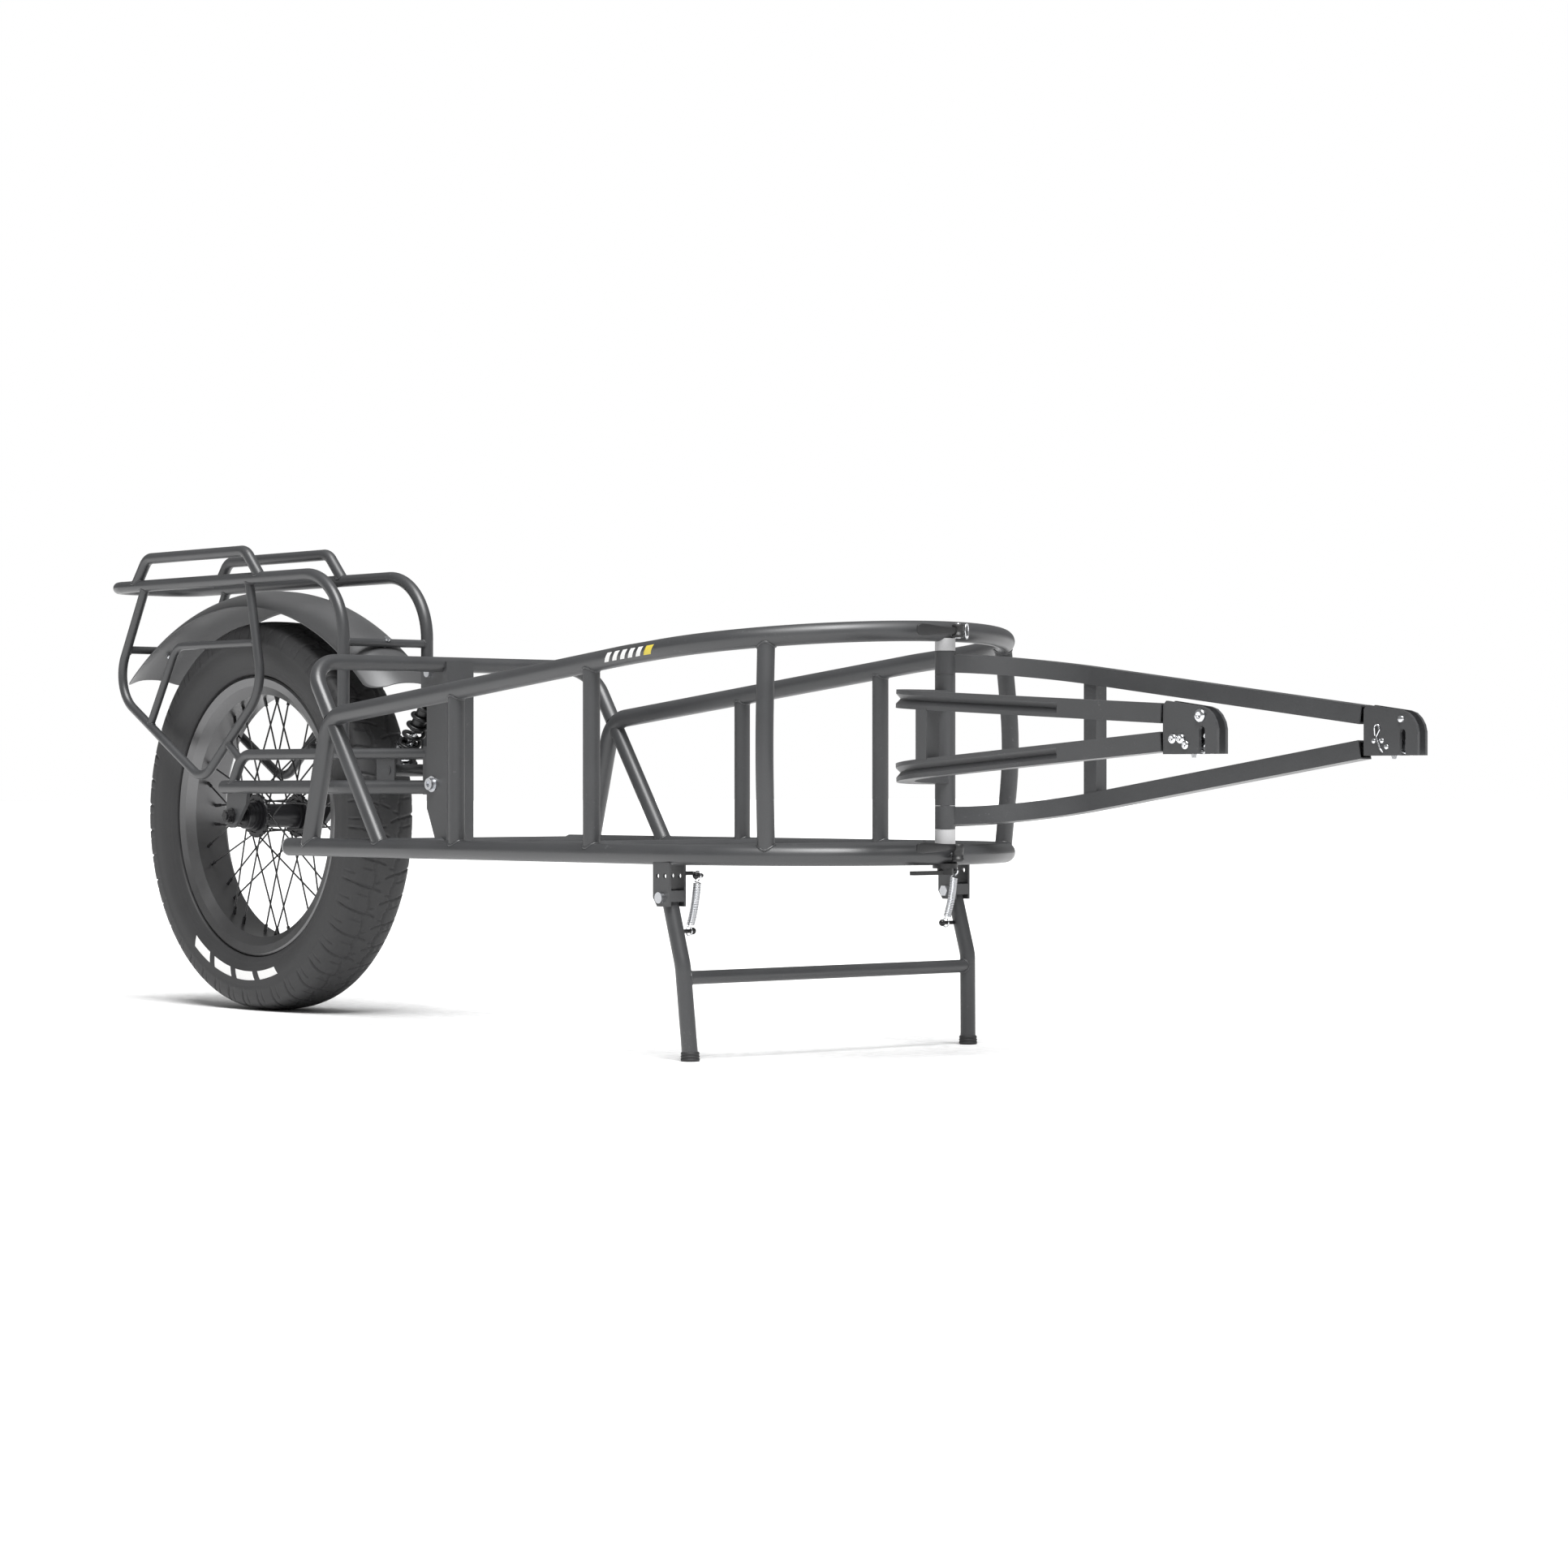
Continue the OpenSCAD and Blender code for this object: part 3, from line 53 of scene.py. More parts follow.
WHEEL_Z = 295.0
SIDES = (-1, 1)  # right, then left
RAIL_R, STRUT_R, DECK_R, PANNIER_R = 12.7, 11.0, 9.0, 7.0
BASKET_HALF = 250
FLOOR_Z = 255.5


def at(x, y, z):
    """A point of the drawing frame, in the row frame and in metres."""
    return Vector(((x - MID_X) / 1000, y / 1000, z / 1000))


# ---------------------------------------------------------------- materials

DRIFT_SCALE, PATCH_SCALE, SPECK_SCALE = 9.0, 14.0, 210.0  # noise cells to a metre
GRAIN_LIGHTER = 1.5

def new_material(name):
    m = bpy.data.materials.new(name)
    m.use_nodes = True
    return m, m.node_tree.nodes, m.node_tree.links, m.node_tree.nodes["Principled BSDF"]


def noise(nodes, links, vector, scale, detail=3.0, rough=0.55):
    n = nodes.new("ShaderNodeTexNoise")
    n.inputs["Scale"].default_value = scale
    n.inputs["Detail"].default_value = detail
    n.inputs["Roughness"].default_value = rough
    links.new(vector, n.inputs["Vector"])
    return n.outputs["Fac"]


def spread(nodes, links, value, low, high, start=0.3, stop=0.7):
    """Maps a 0-to-1 value from start..stop to low..high."""
    n = nodes.new("ShaderNodeMapRange")
    n.inputs["From Min"].default_value = start
    n.inputs["From Max"].default_value = stop
    n.inputs["To Min"].default_value = low
    n.inputs["To Max"].default_value = high
    links.new(value, n.inputs["Value"])
    return n.outputs["Result"]


def blend_colour(nodes, links, factor, a, b):
    n = nodes.new("ShaderNodeMix")
    n.data_type = "RGBA"
    for socket, value in ((n.inputs[6], a), (n.inputs[7], b)):
        if isinstance(value, (tuple, list)):
            socket.default_value = (*value, 1)
        else:
            links.new(value, socket)
    links.new(factor, n.inputs[0])
    return n.outputs[2]


def shade(value, factor):
    return tuple(c * factor for c in value)


def finish_material(name, colour, rough, metallic=0.0, grain=900.0, bump=0.12, depth=0.0004, vary=0.12,
                    wear=None, wear_share=0.35, specular=0.5, rough_vary=0.08, streak=None):
    """A finish with slow colour drift, fine surface grain, uneven gloss and scattered rubbed specks."""
    m, nodes, links, bsdf = new_material(name)
    place = nodes.new("ShaderNodeTexCoord").outputs["Object"]
    if streak:
        stretch = nodes.new("ShaderNodeMapping")
        stretch.inputs["Scale"].default_value = streak
        links.new(place, stretch.inputs["Vector"])
        grain_place = stretch.outputs["Vector"]
    else:
        grain_place = place
    slow = noise(nodes, links, place, DRIFT_SCALE, 4.0)
    fine = noise(nodes, links, grain_place, grain, 2.0)
    base = blend_colour(nodes, links, spread(nodes, links, slow, 0.0, 1.0), shade(colour, 1 - vary),
                        shade(colour, 1 + vary))
    base = blend_colour(nodes, links, spread(nodes, links, fine, 0.0, 0.35), base,
                        shade(colour, GRAIN_LIGHTER))
    gloss = spread(nodes, links, slow, rough - rough_vary, rough + rough_vary, 0.25, 0.75)
    if wear:
        patch = noise(nodes, links, place, PATCH_SCALE, 5.0, 0.7)
        speck = noise(nodes, links, place, SPECK_SCALE, 4.0, 0.75)
        rubbed = nodes.new("ShaderNodeMath")
        rubbed.operation = "MULTIPLY"
        links.new(spread(nodes, links, patch, 0.0, 1.0, 0.52, 0.7), rubbed.inputs[0])
        links.new(spread(nodes, links, speck, 0.0, wear_share, 0.6, 0.72), rubbed.inputs[1])
        base = blend_colour(nodes, links, rubbed.outputs[0], base, wear)
    links.new(base, bsdf.inputs["Base Color"])
    links.new(gloss, bsdf.inputs["Roughness"])
    bsdf.inputs["Metallic"].default_value = metallic
    bsdf.inputs["Specular IOR Level"].default_value = specular
    relief = nodes.new("ShaderNodeBump")
    relief.inputs["Strength"].default_value = bump
    relief.inputs["Distance"].default_value = depth
    links.new(fine, relief.inputs["Height"])
    links.new(relief.outputs["Normal"], bsdf.inputs["Normal"])
    return m


STEEL_WEAR = (0.28, 0.28, 0.29)
COAT = {"wear": STEEL_WEAR, "bump": 0.16, "specular": 0.7}
MATERIALS = {
    "frame_paint": finish_material("frame_powder_coat", (0.040, 0.041, 0.043), 0.40, **COAT),
    "swing_paint": finish_material("swing_powder_coat", (0.038, 0.039, 0.041), 0.40, **COAT),
    "guard_paint": finish_material("guard_satin_paint", (0.085, 0.086, 0.088), 0.42, 0.35, wear=STEEL_WEAR,
                                   bump=0.08, specular=0.8),
    "rim_metal": finish_material("rim_anodised", (0.15, 0.15, 0.152), 0.36, 0.9, grain=1500, bump=0.06,
                                 wear=STEEL_WEAR),
    "hub_metal": finish_material("hub_anodised", (0.018, 0.018, 0.020), 0.34, 0.2, wear=(0.2, 0.2, 0.2)),
    "black_steel": finish_material("black_steel", (0.012, 0.012, 0.013), 0.28, 0.1, wear=(0.22, 0.22, 0.22)),
    "zinc": finish_material("zinc_plate", (0.56, 0.57, 0.59), 0.30, 1.0, grain=700, bump=0.1, vary=0.1),
    "bright_chrome": finish_material("bright_chrome", (0.72, 0.73, 0.75), 0.16, 1.0, grain=2000, bump=0.05,
                                     vary=0.05),
    "spacer_alloy": finish_material("turned_alloy", (0.48, 0.48, 0.485), 0.42, 0.15, grain=400, bump=0.08,
                                    vary=0.06, streak=(1, 1, 12)),
    "cap_plastic": finish_material("cap_plastic", (0.22, 0.22, 0.225), 0.5, bump=0.1),
    "black_plastic": finish_material("black_plastic", (0.020, 0.020, 0.021), 0.42, grain=1400, bump=0.2),
    "tyre_rubber": finish_material("tyre_rubber", (0.034, 0.034, 0.035), 0.55, grain=1100, bump=0.25,
                                   vary=0.18, specular=0.35),
    "foot_rubber": finish_material("foot_rubber", (0.026, 0.026, 0.027), 0.6, bump=0.25, specular=0.35),
    "bush_bronze": finish_material("bush_bronze", (0.45, 0.33, 0.16), 0.35, 1.0),
}
INK = {"grain": 1500, "bump": 0.1, "vary": 0.05}
WHITE_INK = finish_material("mark_ink", (0.74, 0.74, 0.73), 0.5, **INK)
YELLOW_INK = finish_material("mark_yellow_ink", (0.62, 0.50, 0.06), 0.5, **INK)
for entry in frame["record"]["subparts"]:
    node = frame["nodes"][entry["node"]]
    node.data.materials.clear()
    node.data.materials.append(MATERIALS[entry["material_slot"]])
for name in ("axle", "axle_nuts", "shock_lower_bolt"):
    frame["nodes"][name].data.materials[0] = MATERIALS["black_steel"]


# ---------------------------------------------------------------- mesh helpers

def piece(name, body, slot, verts, faces, material=None, smooth=True):
    """A mesh in the row frame that rides on a body."""
    mesh = bpy.data.meshes.new(name)
    mesh.from_pydata(verts, [], faces)
    mesh.update()
    bm = bmesh.new()
    bm.from_mesh(mesh)
    bmesh.ops.remove_doubles(bm, verts=bm.verts, dist=1e-7)
    bmesh.ops.recalc_face_normals(bm, faces=bm.faces)
    for f in bm.faces:
        f.smooth = smooth
    bm.to_mesh(mesh)
    bm.free()
    obj = bpy.data.objects.new(name, mesh)
    bpy.context.scene.collection.objects.link(obj)
    mesh.materials.append(material or MATERIALS[slot])
    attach(obj, body)
    return obj


class Shape:
    """Gathers several solids into one mesh."""

    def __init__(self):
        self.verts, self.faces = [], []

    def add(self, verts, faces):
        start = len(self.verts)
        self.verts += verts
        self.faces += [tuple(start + i for i in f) for f in faces]

    def done(self, name, body, slot, material=None, smooth=True):
        return piece(name, body, slot, self.verts, self.faces, material, smooth)


def grid_faces(rows, cols, wrap_rows=False, wrap_cols=True):
    faces = []
    for i in range(rows if wrap_rows else rows - 1):
        for j in range(cols if wrap_cols else cols - 1):
            a, b = i * cols + j, i * cols + (j + 1) % cols
            c, d = ((i + 1) % rows) * cols + (j + 1) % cols, ((i + 1) % rows) * cols + j
            faces.append((a, b, c, d))
    return faces


def slab(top, under, rows, cols):
    """Closed sheet between two open grids of points."""
    faces = grid_faces(rows, cols, wrap_cols=False)
    n = rows * cols
    rim = list(range(cols)) + [r * cols + cols - 1 for r in range(1, rows)]
    rim += [(rows - 1) * cols + c for c in range(cols - 2, -1, -1)]
    rim += [r * cols for r in range(rows - 2, 0, -1)]
    back = [tuple(n + i for i in f[::-1]) for f in faces]
    walls = [(a, b, n + b, n + a) for a, b in zip(rim, rim[1:] + rim[:1])]
    return top + under, faces + back + walls


def frames_along(points, closed):
    """Tangent and two normals at each point, without twist."""
    n = len(points)
    out = []
    side = None
    for k in range(n):
        before = points[(k - 1) % n] if closed or k else points[k]
        after = points[(k + 1) % n] if closed or k < n - 1 else points[k]
        t = (after - before).normalized()
        if side is None:
            side = t.orthogonal().normalized()
        side = (side - t * side.dot(t)).normalized()
        out.append((t, side, t.cross(side)))
    return out


def sweep(points, radius, sides=10, closed=False):
    """Round bar through the points; radius is a number or one for each point."""
    radii = radius if isinstance(radius, (list, tuple)) else [radius] * len(points)
    verts = []
    for p, (t, u, v), r in zip(points, frames_along(points, closed), radii):
        for s in range(sides):
            a = 2 * math.pi * s / sides
            verts.append(p + (u * math.cos(a) + v * math.sin(a)) * (r / 1000))
    faces = grid_faces(len(points), sides, wrap_rows=closed)
    if not closed:
        faces.append(tuple(range(sides))[::-1])
        faces.append(tuple(range((len(points) - 1) * sides, len(points) * sides)))
    return verts, faces


def rounded(points, radii, steps=8):
    """Polyline through drawing-frame points with rounded inner corners."""
    pts = [Vector(p) for p in points]
    out = [pts[0]]
    for k in range(1, len(pts) - 1):
        u, v = (pts[k] - pts[k - 1]).normalized(), (pts[k + 1] - pts[k]).normalized()
        w = u.angle(v)
        if w < 1e-4:
            continue
        r = radii[k - 1]
        cut = r * math.tan(w / 2)
        side = (v - u * u.dot(v)).normalized()
        hub = pts[k] - u * cut + side * r
        for s in range(steps + 1):
            a = w * s / steps
            out.append(hub + (u * math.sin(a) - side * math.cos(a)) * r)
    out.append(pts[-1])
    return [at(*p) for p in out]


def turned(origin, axis, profile, segments=32):
    """Solid of revolution; profile is (distance along the axis, radius) from one end to the other."""
    axis = Vector(axis).normalized()
    u = axis.orthogonal().normalized()
    v = axis.cross(u)
    verts = []
    for h, r in profile:
        for s in range(segments):
            a = 2 * math.pi * s / segments
            verts.append(at(*(Vector(origin) + axis * h + (u * math.cos(a) + v * math.sin(a)) * r)))
    faces = grid_faces(len(profile), segments)
    faces.append(tuple(range(segments))[::-1])
    faces.append(tuple(range((len(profile) - 1) * segments, len(profile) * segments)))
    return verts, faces


def loft(sections, segments=28, power=0.55):
    """Solid through rounded-box sections along -Y; each is (y, x, z, half-width in x, half-width in z)."""
    verts = []
    for y, x, z, a, b in sections:
        for s in range(segments):
            t = 2 * math.pi * s / segments
            c, d = math.cos(t), math.sin(t)
            verts.append(at(x + a * math.copysign(abs(c) ** power, c), y,
                            z + b * math.copysign(abs(d) ** power, d)))
    faces = grid_faces(len(sections), segments)
    faces.append(tuple(range(segments))[::-1])
    faces.append(tuple(range((len(sections) - 1) * segments, len(sections) * segments)))
    return verts, faces


# ---------------------------------------------------------------- tyre

TYRE_R, TYRE_HALF, BEAD_R, BEAD_HALF, BEAD_H = 295.0, 53.0, 203.0, 35.0, 11.0
SHOULDER_R, CROWN_R = 262, 284  # the tread fades in between them
TREAD_BLOCKS = 44
TYRE_STEPS = 1320  # 30 round each tread block
MOULD_LINES = ((221.5, 1.6, 0.9), (228.0, 0.7, 0.4), (262.0, 0.7, 0.35), (266.0, 0.7, 0.35))
INNER_WALL = [(BEAD_R, BEAD_HALF - 5), (214, 32), (224, 42), (250, 48), (276, 45), (285, 32), (285.5, 0)]


def tyre_swell(h):
    """Half-width of the casing as a share of the widest, h from 0 at the bead to 1 at the crown."""
    return (0.8 + 0.2 * math.sin(math.radians(min(90, h * 200)))) * max(
        0.0, 1 - (max(0.0, h - 0.45) / 0.55) ** 4.5) ** (1 / 3)


def tyre_outline(count):
    """Evenly spaced (radius, half-width) points of one side, from the bead to the crown."""
    fine = [(BEAD_R, BEAD_HALF), (BEAD_R + BEAD_H, BEAD_HALF + 1)]
    for k in range(1, 401):
        h = 1 - (1 - k / 400) ** 2
        fine.append(((BEAD_R + BEAD_H) * (1 - h) + TYRE_R * h, TYRE_HALF * tyre_swell(h)))
    lengths = [0.0]
    for a, b in zip(fine, fine[1:]):
        lengths.append(lengths[-1] + math.hypot(b[0] - a[0], b[1] - a[1]))
    out, k = [], 0
    for i in range(count + 1):
        s = lengths[-1] * i / count
        while k < len(fine) - 2 and lengths[k + 1] < s:
            k += 1
        f = (s - lengths[k]) / (lengths[k + 1] - lengths[k])
        out.append(tuple(fine[k][j] * (1 - f) + fine[k + 1][j] * f for j in (0, 1)))
    return out


def groove(d, half, edge=1.1):
    """1 in the middle of a groove, 0 outside it."""
    return min(1.0, max(0.0, (half + edge - abs(d)) / edge))


def tread_cut(angle, y, r):
    """Depth in millimetres cut into the smooth tyre at an angle and across position."""
    if r <= SHOULDER_R:
        return 0.0
    pitch = 2 * math.pi / TREAD_BLOCKS
    step = pitch * TYRE_R
    half_turn = pitch / 2 if y > 0 else 0.0
    u = ((angle + half_turn) % pitch) * TYRE_R
    across = abs(y)
    lean = (across - 30) * 0.22
    cut = 0.0
    if r > CROWN_R:
        wave = 2.5 * math.sin(2 * math.pi * u / step)
        cut = max(cut, 2.2 * groove(across - 18 - wave, 1.0))
        cut = max(cut, 2.0 * groove(u - step * 0.30 - across * 0.4, 0.9) * (2 < across < 17))
        cut = max(cut, 1.6 * groove(u - step * 0.72 + across * 0.25, 0.9) * (6 < across < 17))
        cut = max(cut, 2.2 * groove(u - step * 0.5 - lean, 1.2) * (across > 18))
        cut = max(cut, 1.5 * groove(u - step * 0.16 - lean, 0.8) * (24 < across < 38))
        cut = max(cut, 1.5 * groove(across - 31, 0.8) * (step * 0.16 < u < step * 0.5))
    else:
        fade = (r - SHOULDER_R) / (CROWN_R - SHOULDER_R)
        cut = max(cut, 2.0 * min(1.0, fade * 2) * groove(u - step * 0.5 - lean, 1.2))
        cut = max(cut, 1.4 * fade * groove(u - step * 0.95, 0.8))
    return cut


def sidewall_relief(r):
    """Height of the moulded lines on the sidewall at a radius."""
    lift = 0.0
    for centre, half, height in MOULD_LINES:
        lift = max(lift, height * groove(r - centre, half, 0.8))
    return lift


def wheel_point(r, angle, y):
    return at(r * math.cos(angle), y, WHEEL_Z + r * math.sin(angle))


def build_tyre():
    """Casing, moulded lines and tread as one skin with an inner wall."""
    side = tyre_outline(52)
    section = [(r, y) for r, y in side] + [(r, -y) for r, y in side[-2::-1]]
    normals = []
    for k, (r, y) in enumerate(section):
        a, b = section[max(0, k - 1)], section[min(len(section) - 1, k + 1)]
        d = (b[0] - a[0], b[1] - a[1])
        n = math.hypot(*d)
        normals.append((-d[1] / n, d[0] / n))
    inner = [(r, -y) for r, y in INNER_WALL] + [(r, y) for r, y in INNER_WALL[-2::-1]]
    cols = len(section) + len(inner)
    verts = []
    for i in range(TYRE_STEPS):
        a = 2 * math.pi * i / TYRE_STEPS
        for (r, y), (nr, ny) in zip(section, normals):
            lift = sidewall_relief(r) - tread_cut(a, y, r)
            verts.append(wheel_point(min(TYRE_R, r + nr * lift), a, y + ny * lift))
        for r, y in inner:
            verts.append(wheel_point(r, a, y))
    return piece("tyre_tread", "wheel", "tyre_rubber", verts, grid_faces(TYRE_STEPS, cols, wrap_rows=True))


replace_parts(build_tyre(), "tyre")


BAR_STARTS, BAR_SPAN, BAR_STEPS = (-127, -112.5, -98, -83.5), 11, 26  # degrees round the wheel
BAR_LEAN = 2.2
BAR_PROUD, BAR_SUNK = 0.35, 0.6


def sidewall_bars():
    """Plain pale bars printed on both sidewalls, in place of any lettering."""
    side = [(r, y) for r, y in tyre_outline(104) if 235 <= r <= 249]
    rows, cols = len(side), BAR_STEPS + 1
    bars = Shape()
    for face in SIDES:
        for start in BAR_STARTS:
            top, under = [], []
            for i, (r, y) in enumerate(side):
                lean = BAR_LEAN * (i / (rows - 1) - 0.5)
                for j in range(cols):
                    a = math.radians(start + lean + BAR_SPAN * j / BAR_STEPS)
                    top.append(wheel_point(r, a, face * (y + BAR_PROUD)))
                    under.append(wheel_point(r, a, face * (y - BAR_SUNK)))
            bars.add(*slab(top, under, rows, cols))
    bars.done("sidewall_bars", "wheel", "tyre_rubber", WHITE_INK)


sidewall_bars()

# ---------------------------------------------------------------- shock spring


SHOCK_LOW, SHOCK_TOP = Vector((322, 0, 378)), Vector((425, 0, 503))
SEAT_LOW, COIL_LOW, COIL_TOP = 26, 29.2, 39.4  # first two from the lower eye, last from the upper eye
COIL_R, COIL_TURNS, WIRE_R = 14.0, 6.4, 2.9


def coil_points(start, end, radius, turns, per_turn, close_ends):
    """Helix from start to end; close_ends is how many turns at each end lie flat."""
    axis = (end - start).normalized()
    u = Vector((0, 1, 0))
    v = axis.cross(u)
    length = (end - start).length
    pts = []
    n = int(turns * per_turn)
    for k in range(n + 1):
        t = k / n * turns
        open_turns = turns - 2 * close_ends
        h = min(1.0, max(0.0, (t - close_ends) / open_turns))
        a = 2 * math.pi * t
        pts.append(at(*(start + axis * (length * h) + (u * math.cos(a) + v * math.sin(a)) * radius)))
    return pts


shock_line = SHOCK_TOP - SHOCK_LOW
shock_axis = shock_line.normalized()
spring_low = SHOCK_LOW + shock_axis * COIL_LOW
spring_top = SHOCK_LOW + shock_axis * (shock_line.length - COIL_TOP)
spring = Shape()
spring.add(*sweep(coil_points(spring_low, spring_top, COIL_R, COIL_TURNS, 28, 0.5), WIRE_R, 12))
shock_coil = spring.done("shock_coil", "shock_lower", "black_steel")
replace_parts(shock_coil, "shock_spring")
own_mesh(shock_coil)

# ---------------------------------------------------------------- stand springs

HOOK_X, HOOK_Z, STUD_X, STUD_Z, STAND_SPRING_Y = 1257, 229, 1240, 160, 221
LOOP_R, STAND_COIL_R, STAND_WIRE_R = 5.9, 4.3, 0.9
LOOP_REACH = 8.6  # from an eye's centre to the first turn
STAND_TURNS, PER_TURN = 25, 14
BOW = Vector((1, 0, -0.25)).normalized() * 3.0


def stand_spring(side):
    """One slightly bowed coil with an eye at each end, as one bar."""
    a = Vector((STUD_X, side * STAND_SPRING_Y, STUD_Z))
    b = Vector((HOOK_X, side * STAND_SPRING_Y, HOOK_Z))
    axis = (b - a).normalized()
    length = (b - a).length
    across = axis.cross(Vector((0, 1, 0)))
    outward = Vector((0, side, 0))
    eye = [math.radians(d) for d in range(-160, 161, 16)]
    low_eye = [a - axis * (math.cos(t) * LOOP_R) + across * (math.sin(t) * LOOP_R) for t in eye]
    high_eye = [b + axis * (math.cos(t) * LOOP_R) + across * (math.sin(t) * LOOP_R) for t in reversed(eye)]
    low_t, high_t = LOOP_REACH / length, 1 - LOOP_REACH / length
    steps = STAND_TURNS * PER_TURN
    coil = []
    for k in range(steps + 1):
        t = low_t + (high_t - low_t) * k / steps
        turn = 2 * math.pi * k / PER_TURN
        coil.append(a + axis * (length * t) + BOW * math.sin(math.pi * t)
                    + (across * math.cos(turn) + outward * math.sin(turn)) * STAND_COIL_R)
    return sweep([at(*p) for p in low_eye + coil + high_eye], STAND_WIRE_R, 7)


stand_coils = Shape()
for side in SIDES:
    stand_coils.add(*stand_spring(side))
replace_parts(stand_coils.done("stand_coils", "stand_spring_pair", "bright_chrome"), "stand_springs")

# ---------------------------------------------------------------- mudguard

GUARD_X, GUARD_Z, GUARD_R = -15, 118, 519
GUARD_CROWN, GUARD_HALF, GUARD_T, GUARD_CORNER = 25, 60, 1.6, 26.0
GUARD_START, GUARD_SWEEP = math.radians(46), math.radians(85)
GUARD_STEPS, GUARD_COLS = 150, 33


def mudguard():
    """Crowned sheet with rounded corners."""
    arc = GUARD_SWEEP * GUARD_R
    layers = [[], []]
    for i in range(GUARD_STEPS + 1):
        s = arc * (0.5 - 0.5 * math.cos(math.pi * i / GUARD_STEPS))
        from_end = min(s, arc - s)
        half = GUARD_HALF
        if from_end < GUARD_CORNER:
            half -= GUARD_CORNER - math.sqrt(max(0.0, GUARD_CORNER ** 2 - (GUARD_CORNER - from_end) ** 2))
        a = GUARD_START + s / GUARD_R
        for j in range(GUARD_COLS):
            y = half * (2 * j / (GUARD_COLS - 1) - 1)
            r = GUARD_R - GUARD_CROWN * (abs(y) / GUARD_HALF) ** 2.4
            for layer, depth in zip(layers, (0.0, GUARD_T)):
                layer.append(at(GUARD_X + (r - depth) * math.cos(a), y, GUARD_Z + (r - depth) * math.sin(a)))
    return piece("mudguard_sheet", "swingarm", "guard_paint", *slab(*layers, GUARD_STEPS + 1, GUARD_COLS))


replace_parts(mudguard(), "mudguard")

# ---------------------------------------------------------------- welds

BEAD_STEPS, BEAD_RIPPLES = 40, 13
BRIM_LOW_X, BRIM_BEND_X = 503, 1150
BRIM_LOW_Z, BRIM_BEND_Z, BRIM_RISE = 436, 504.8, 0.085
STRAIGHT_STRUTS, CROSS_TUBES = (795, 1082), (452, 838, 1176)
BOW_CENTRE_X, BOW_ANGLE = 1220, math.radians(54.3)
UP, DOWN, FORWARD = (0, 0, 1), (0, 0, -1), (1, 0, 0)
RACK_HALF, DECK_Z, GRIP_R, BRACE_R = 75, 652, 8.5, 6
LEG_R, STAND_BAR_R = 10, 8.5


def weld(shape, point, along, big_r, out, small_r, bead=1.7):
    """Bead where a tube of small_r leaves a tube of big_r; point is where their centre lines meet."""
    p, d, l = Vector(point), Vector(along).normalized(), Vector(out).normalized()
    u = (d - l * d.dot(l)).normalized()
    v = l.cross(u)
    flat = l - d * l.dot(d)
    pts, radii = [], []
    for k in range(BEAD_STEPS):
        a = 2 * math.pi * k / BEAD_STEPS
        w = (u * math.cos(a) + v * math.sin(a)) * small_r
        w_flat = w - d * w.dot(d)
        qa, qb, qc = flat.dot(flat), 2 * w_flat.dot(flat), w_flat.dot(w_flat) - big_r ** 2
        t = (-qb + math.sqrt(max(0.0, qb * qb - 4 * qa * qc))) / (2 * qa)
        pts.append(at(*(p + w + l * max(t, 0.0))))
        radii.append(bead * (1 + 0.14 * math.sin(a * BEAD_RIPPLES)))
    shape.add(*sweep(pts, radii, 7, closed=True))


def brim_height(x):
    """Height of the upper rail's centre line, which climbs to the bend and then eases off."""
    if x < BRIM_BEND_X:
        return BRIM_LOW_Z + (BRIM_BEND_Z - BRIM_LOW_Z) * (x - BRIM_LOW_X) / (BRIM_BEND_X - BRIM_LOW_X)
    return BRIM_BEND_Z + BRIM_RISE * (x - BRIM_BEND_X)


def weld_basket(shape, side):
    """Beads at the uprights, the cross tubes and the feet of the hoop and the brim."""
    y = side * BASKET_HALF
    for x in STRAIGHT_STRUTS:
        weld(shape, (x, y, FLOOR_Z), FORWARD, RAIL_R, UP, STRUT_R)
        weld(shape, (x, y, brim_height(x)), (1, 0, 0.1), RAIL_R, DOWN, STRUT_R)
    foot_x = BOW_CENTRE_X + BASKET_HALF * math.cos(BOW_ANGLE)
    foot_y = y * math.sin(BOW_ANGLE)
    tangent = (-math.sin(BOW_ANGLE), side * math.cos(BOW_ANGLE))
    weld(shape, (foot_x, foot_y, FLOOR_Z), (*tangent, 0), RAIL_R, UP, STRUT_R)
    weld(shape, (foot_x, foot_y, brim_height(foot_x)), (*tangent, -0.07), RAIL_R, DOWN, STRUT_R)
    for x in CROSS_TUBES:
        weld(shape, (x, y, FLOOR_Z), FORWARD, RAIL_R, (0, -side, 0), STRUT_R)
    weld(shape, (453, y, FLOOR_Z), FORWARD, RAIL_R, (50, 0, 180.5), RAIL_R)
    weld(shape, (626, y, FLOOR_Z), FORWARD, RAIL_R, (-174, 0, 258.5), STRUT_R)


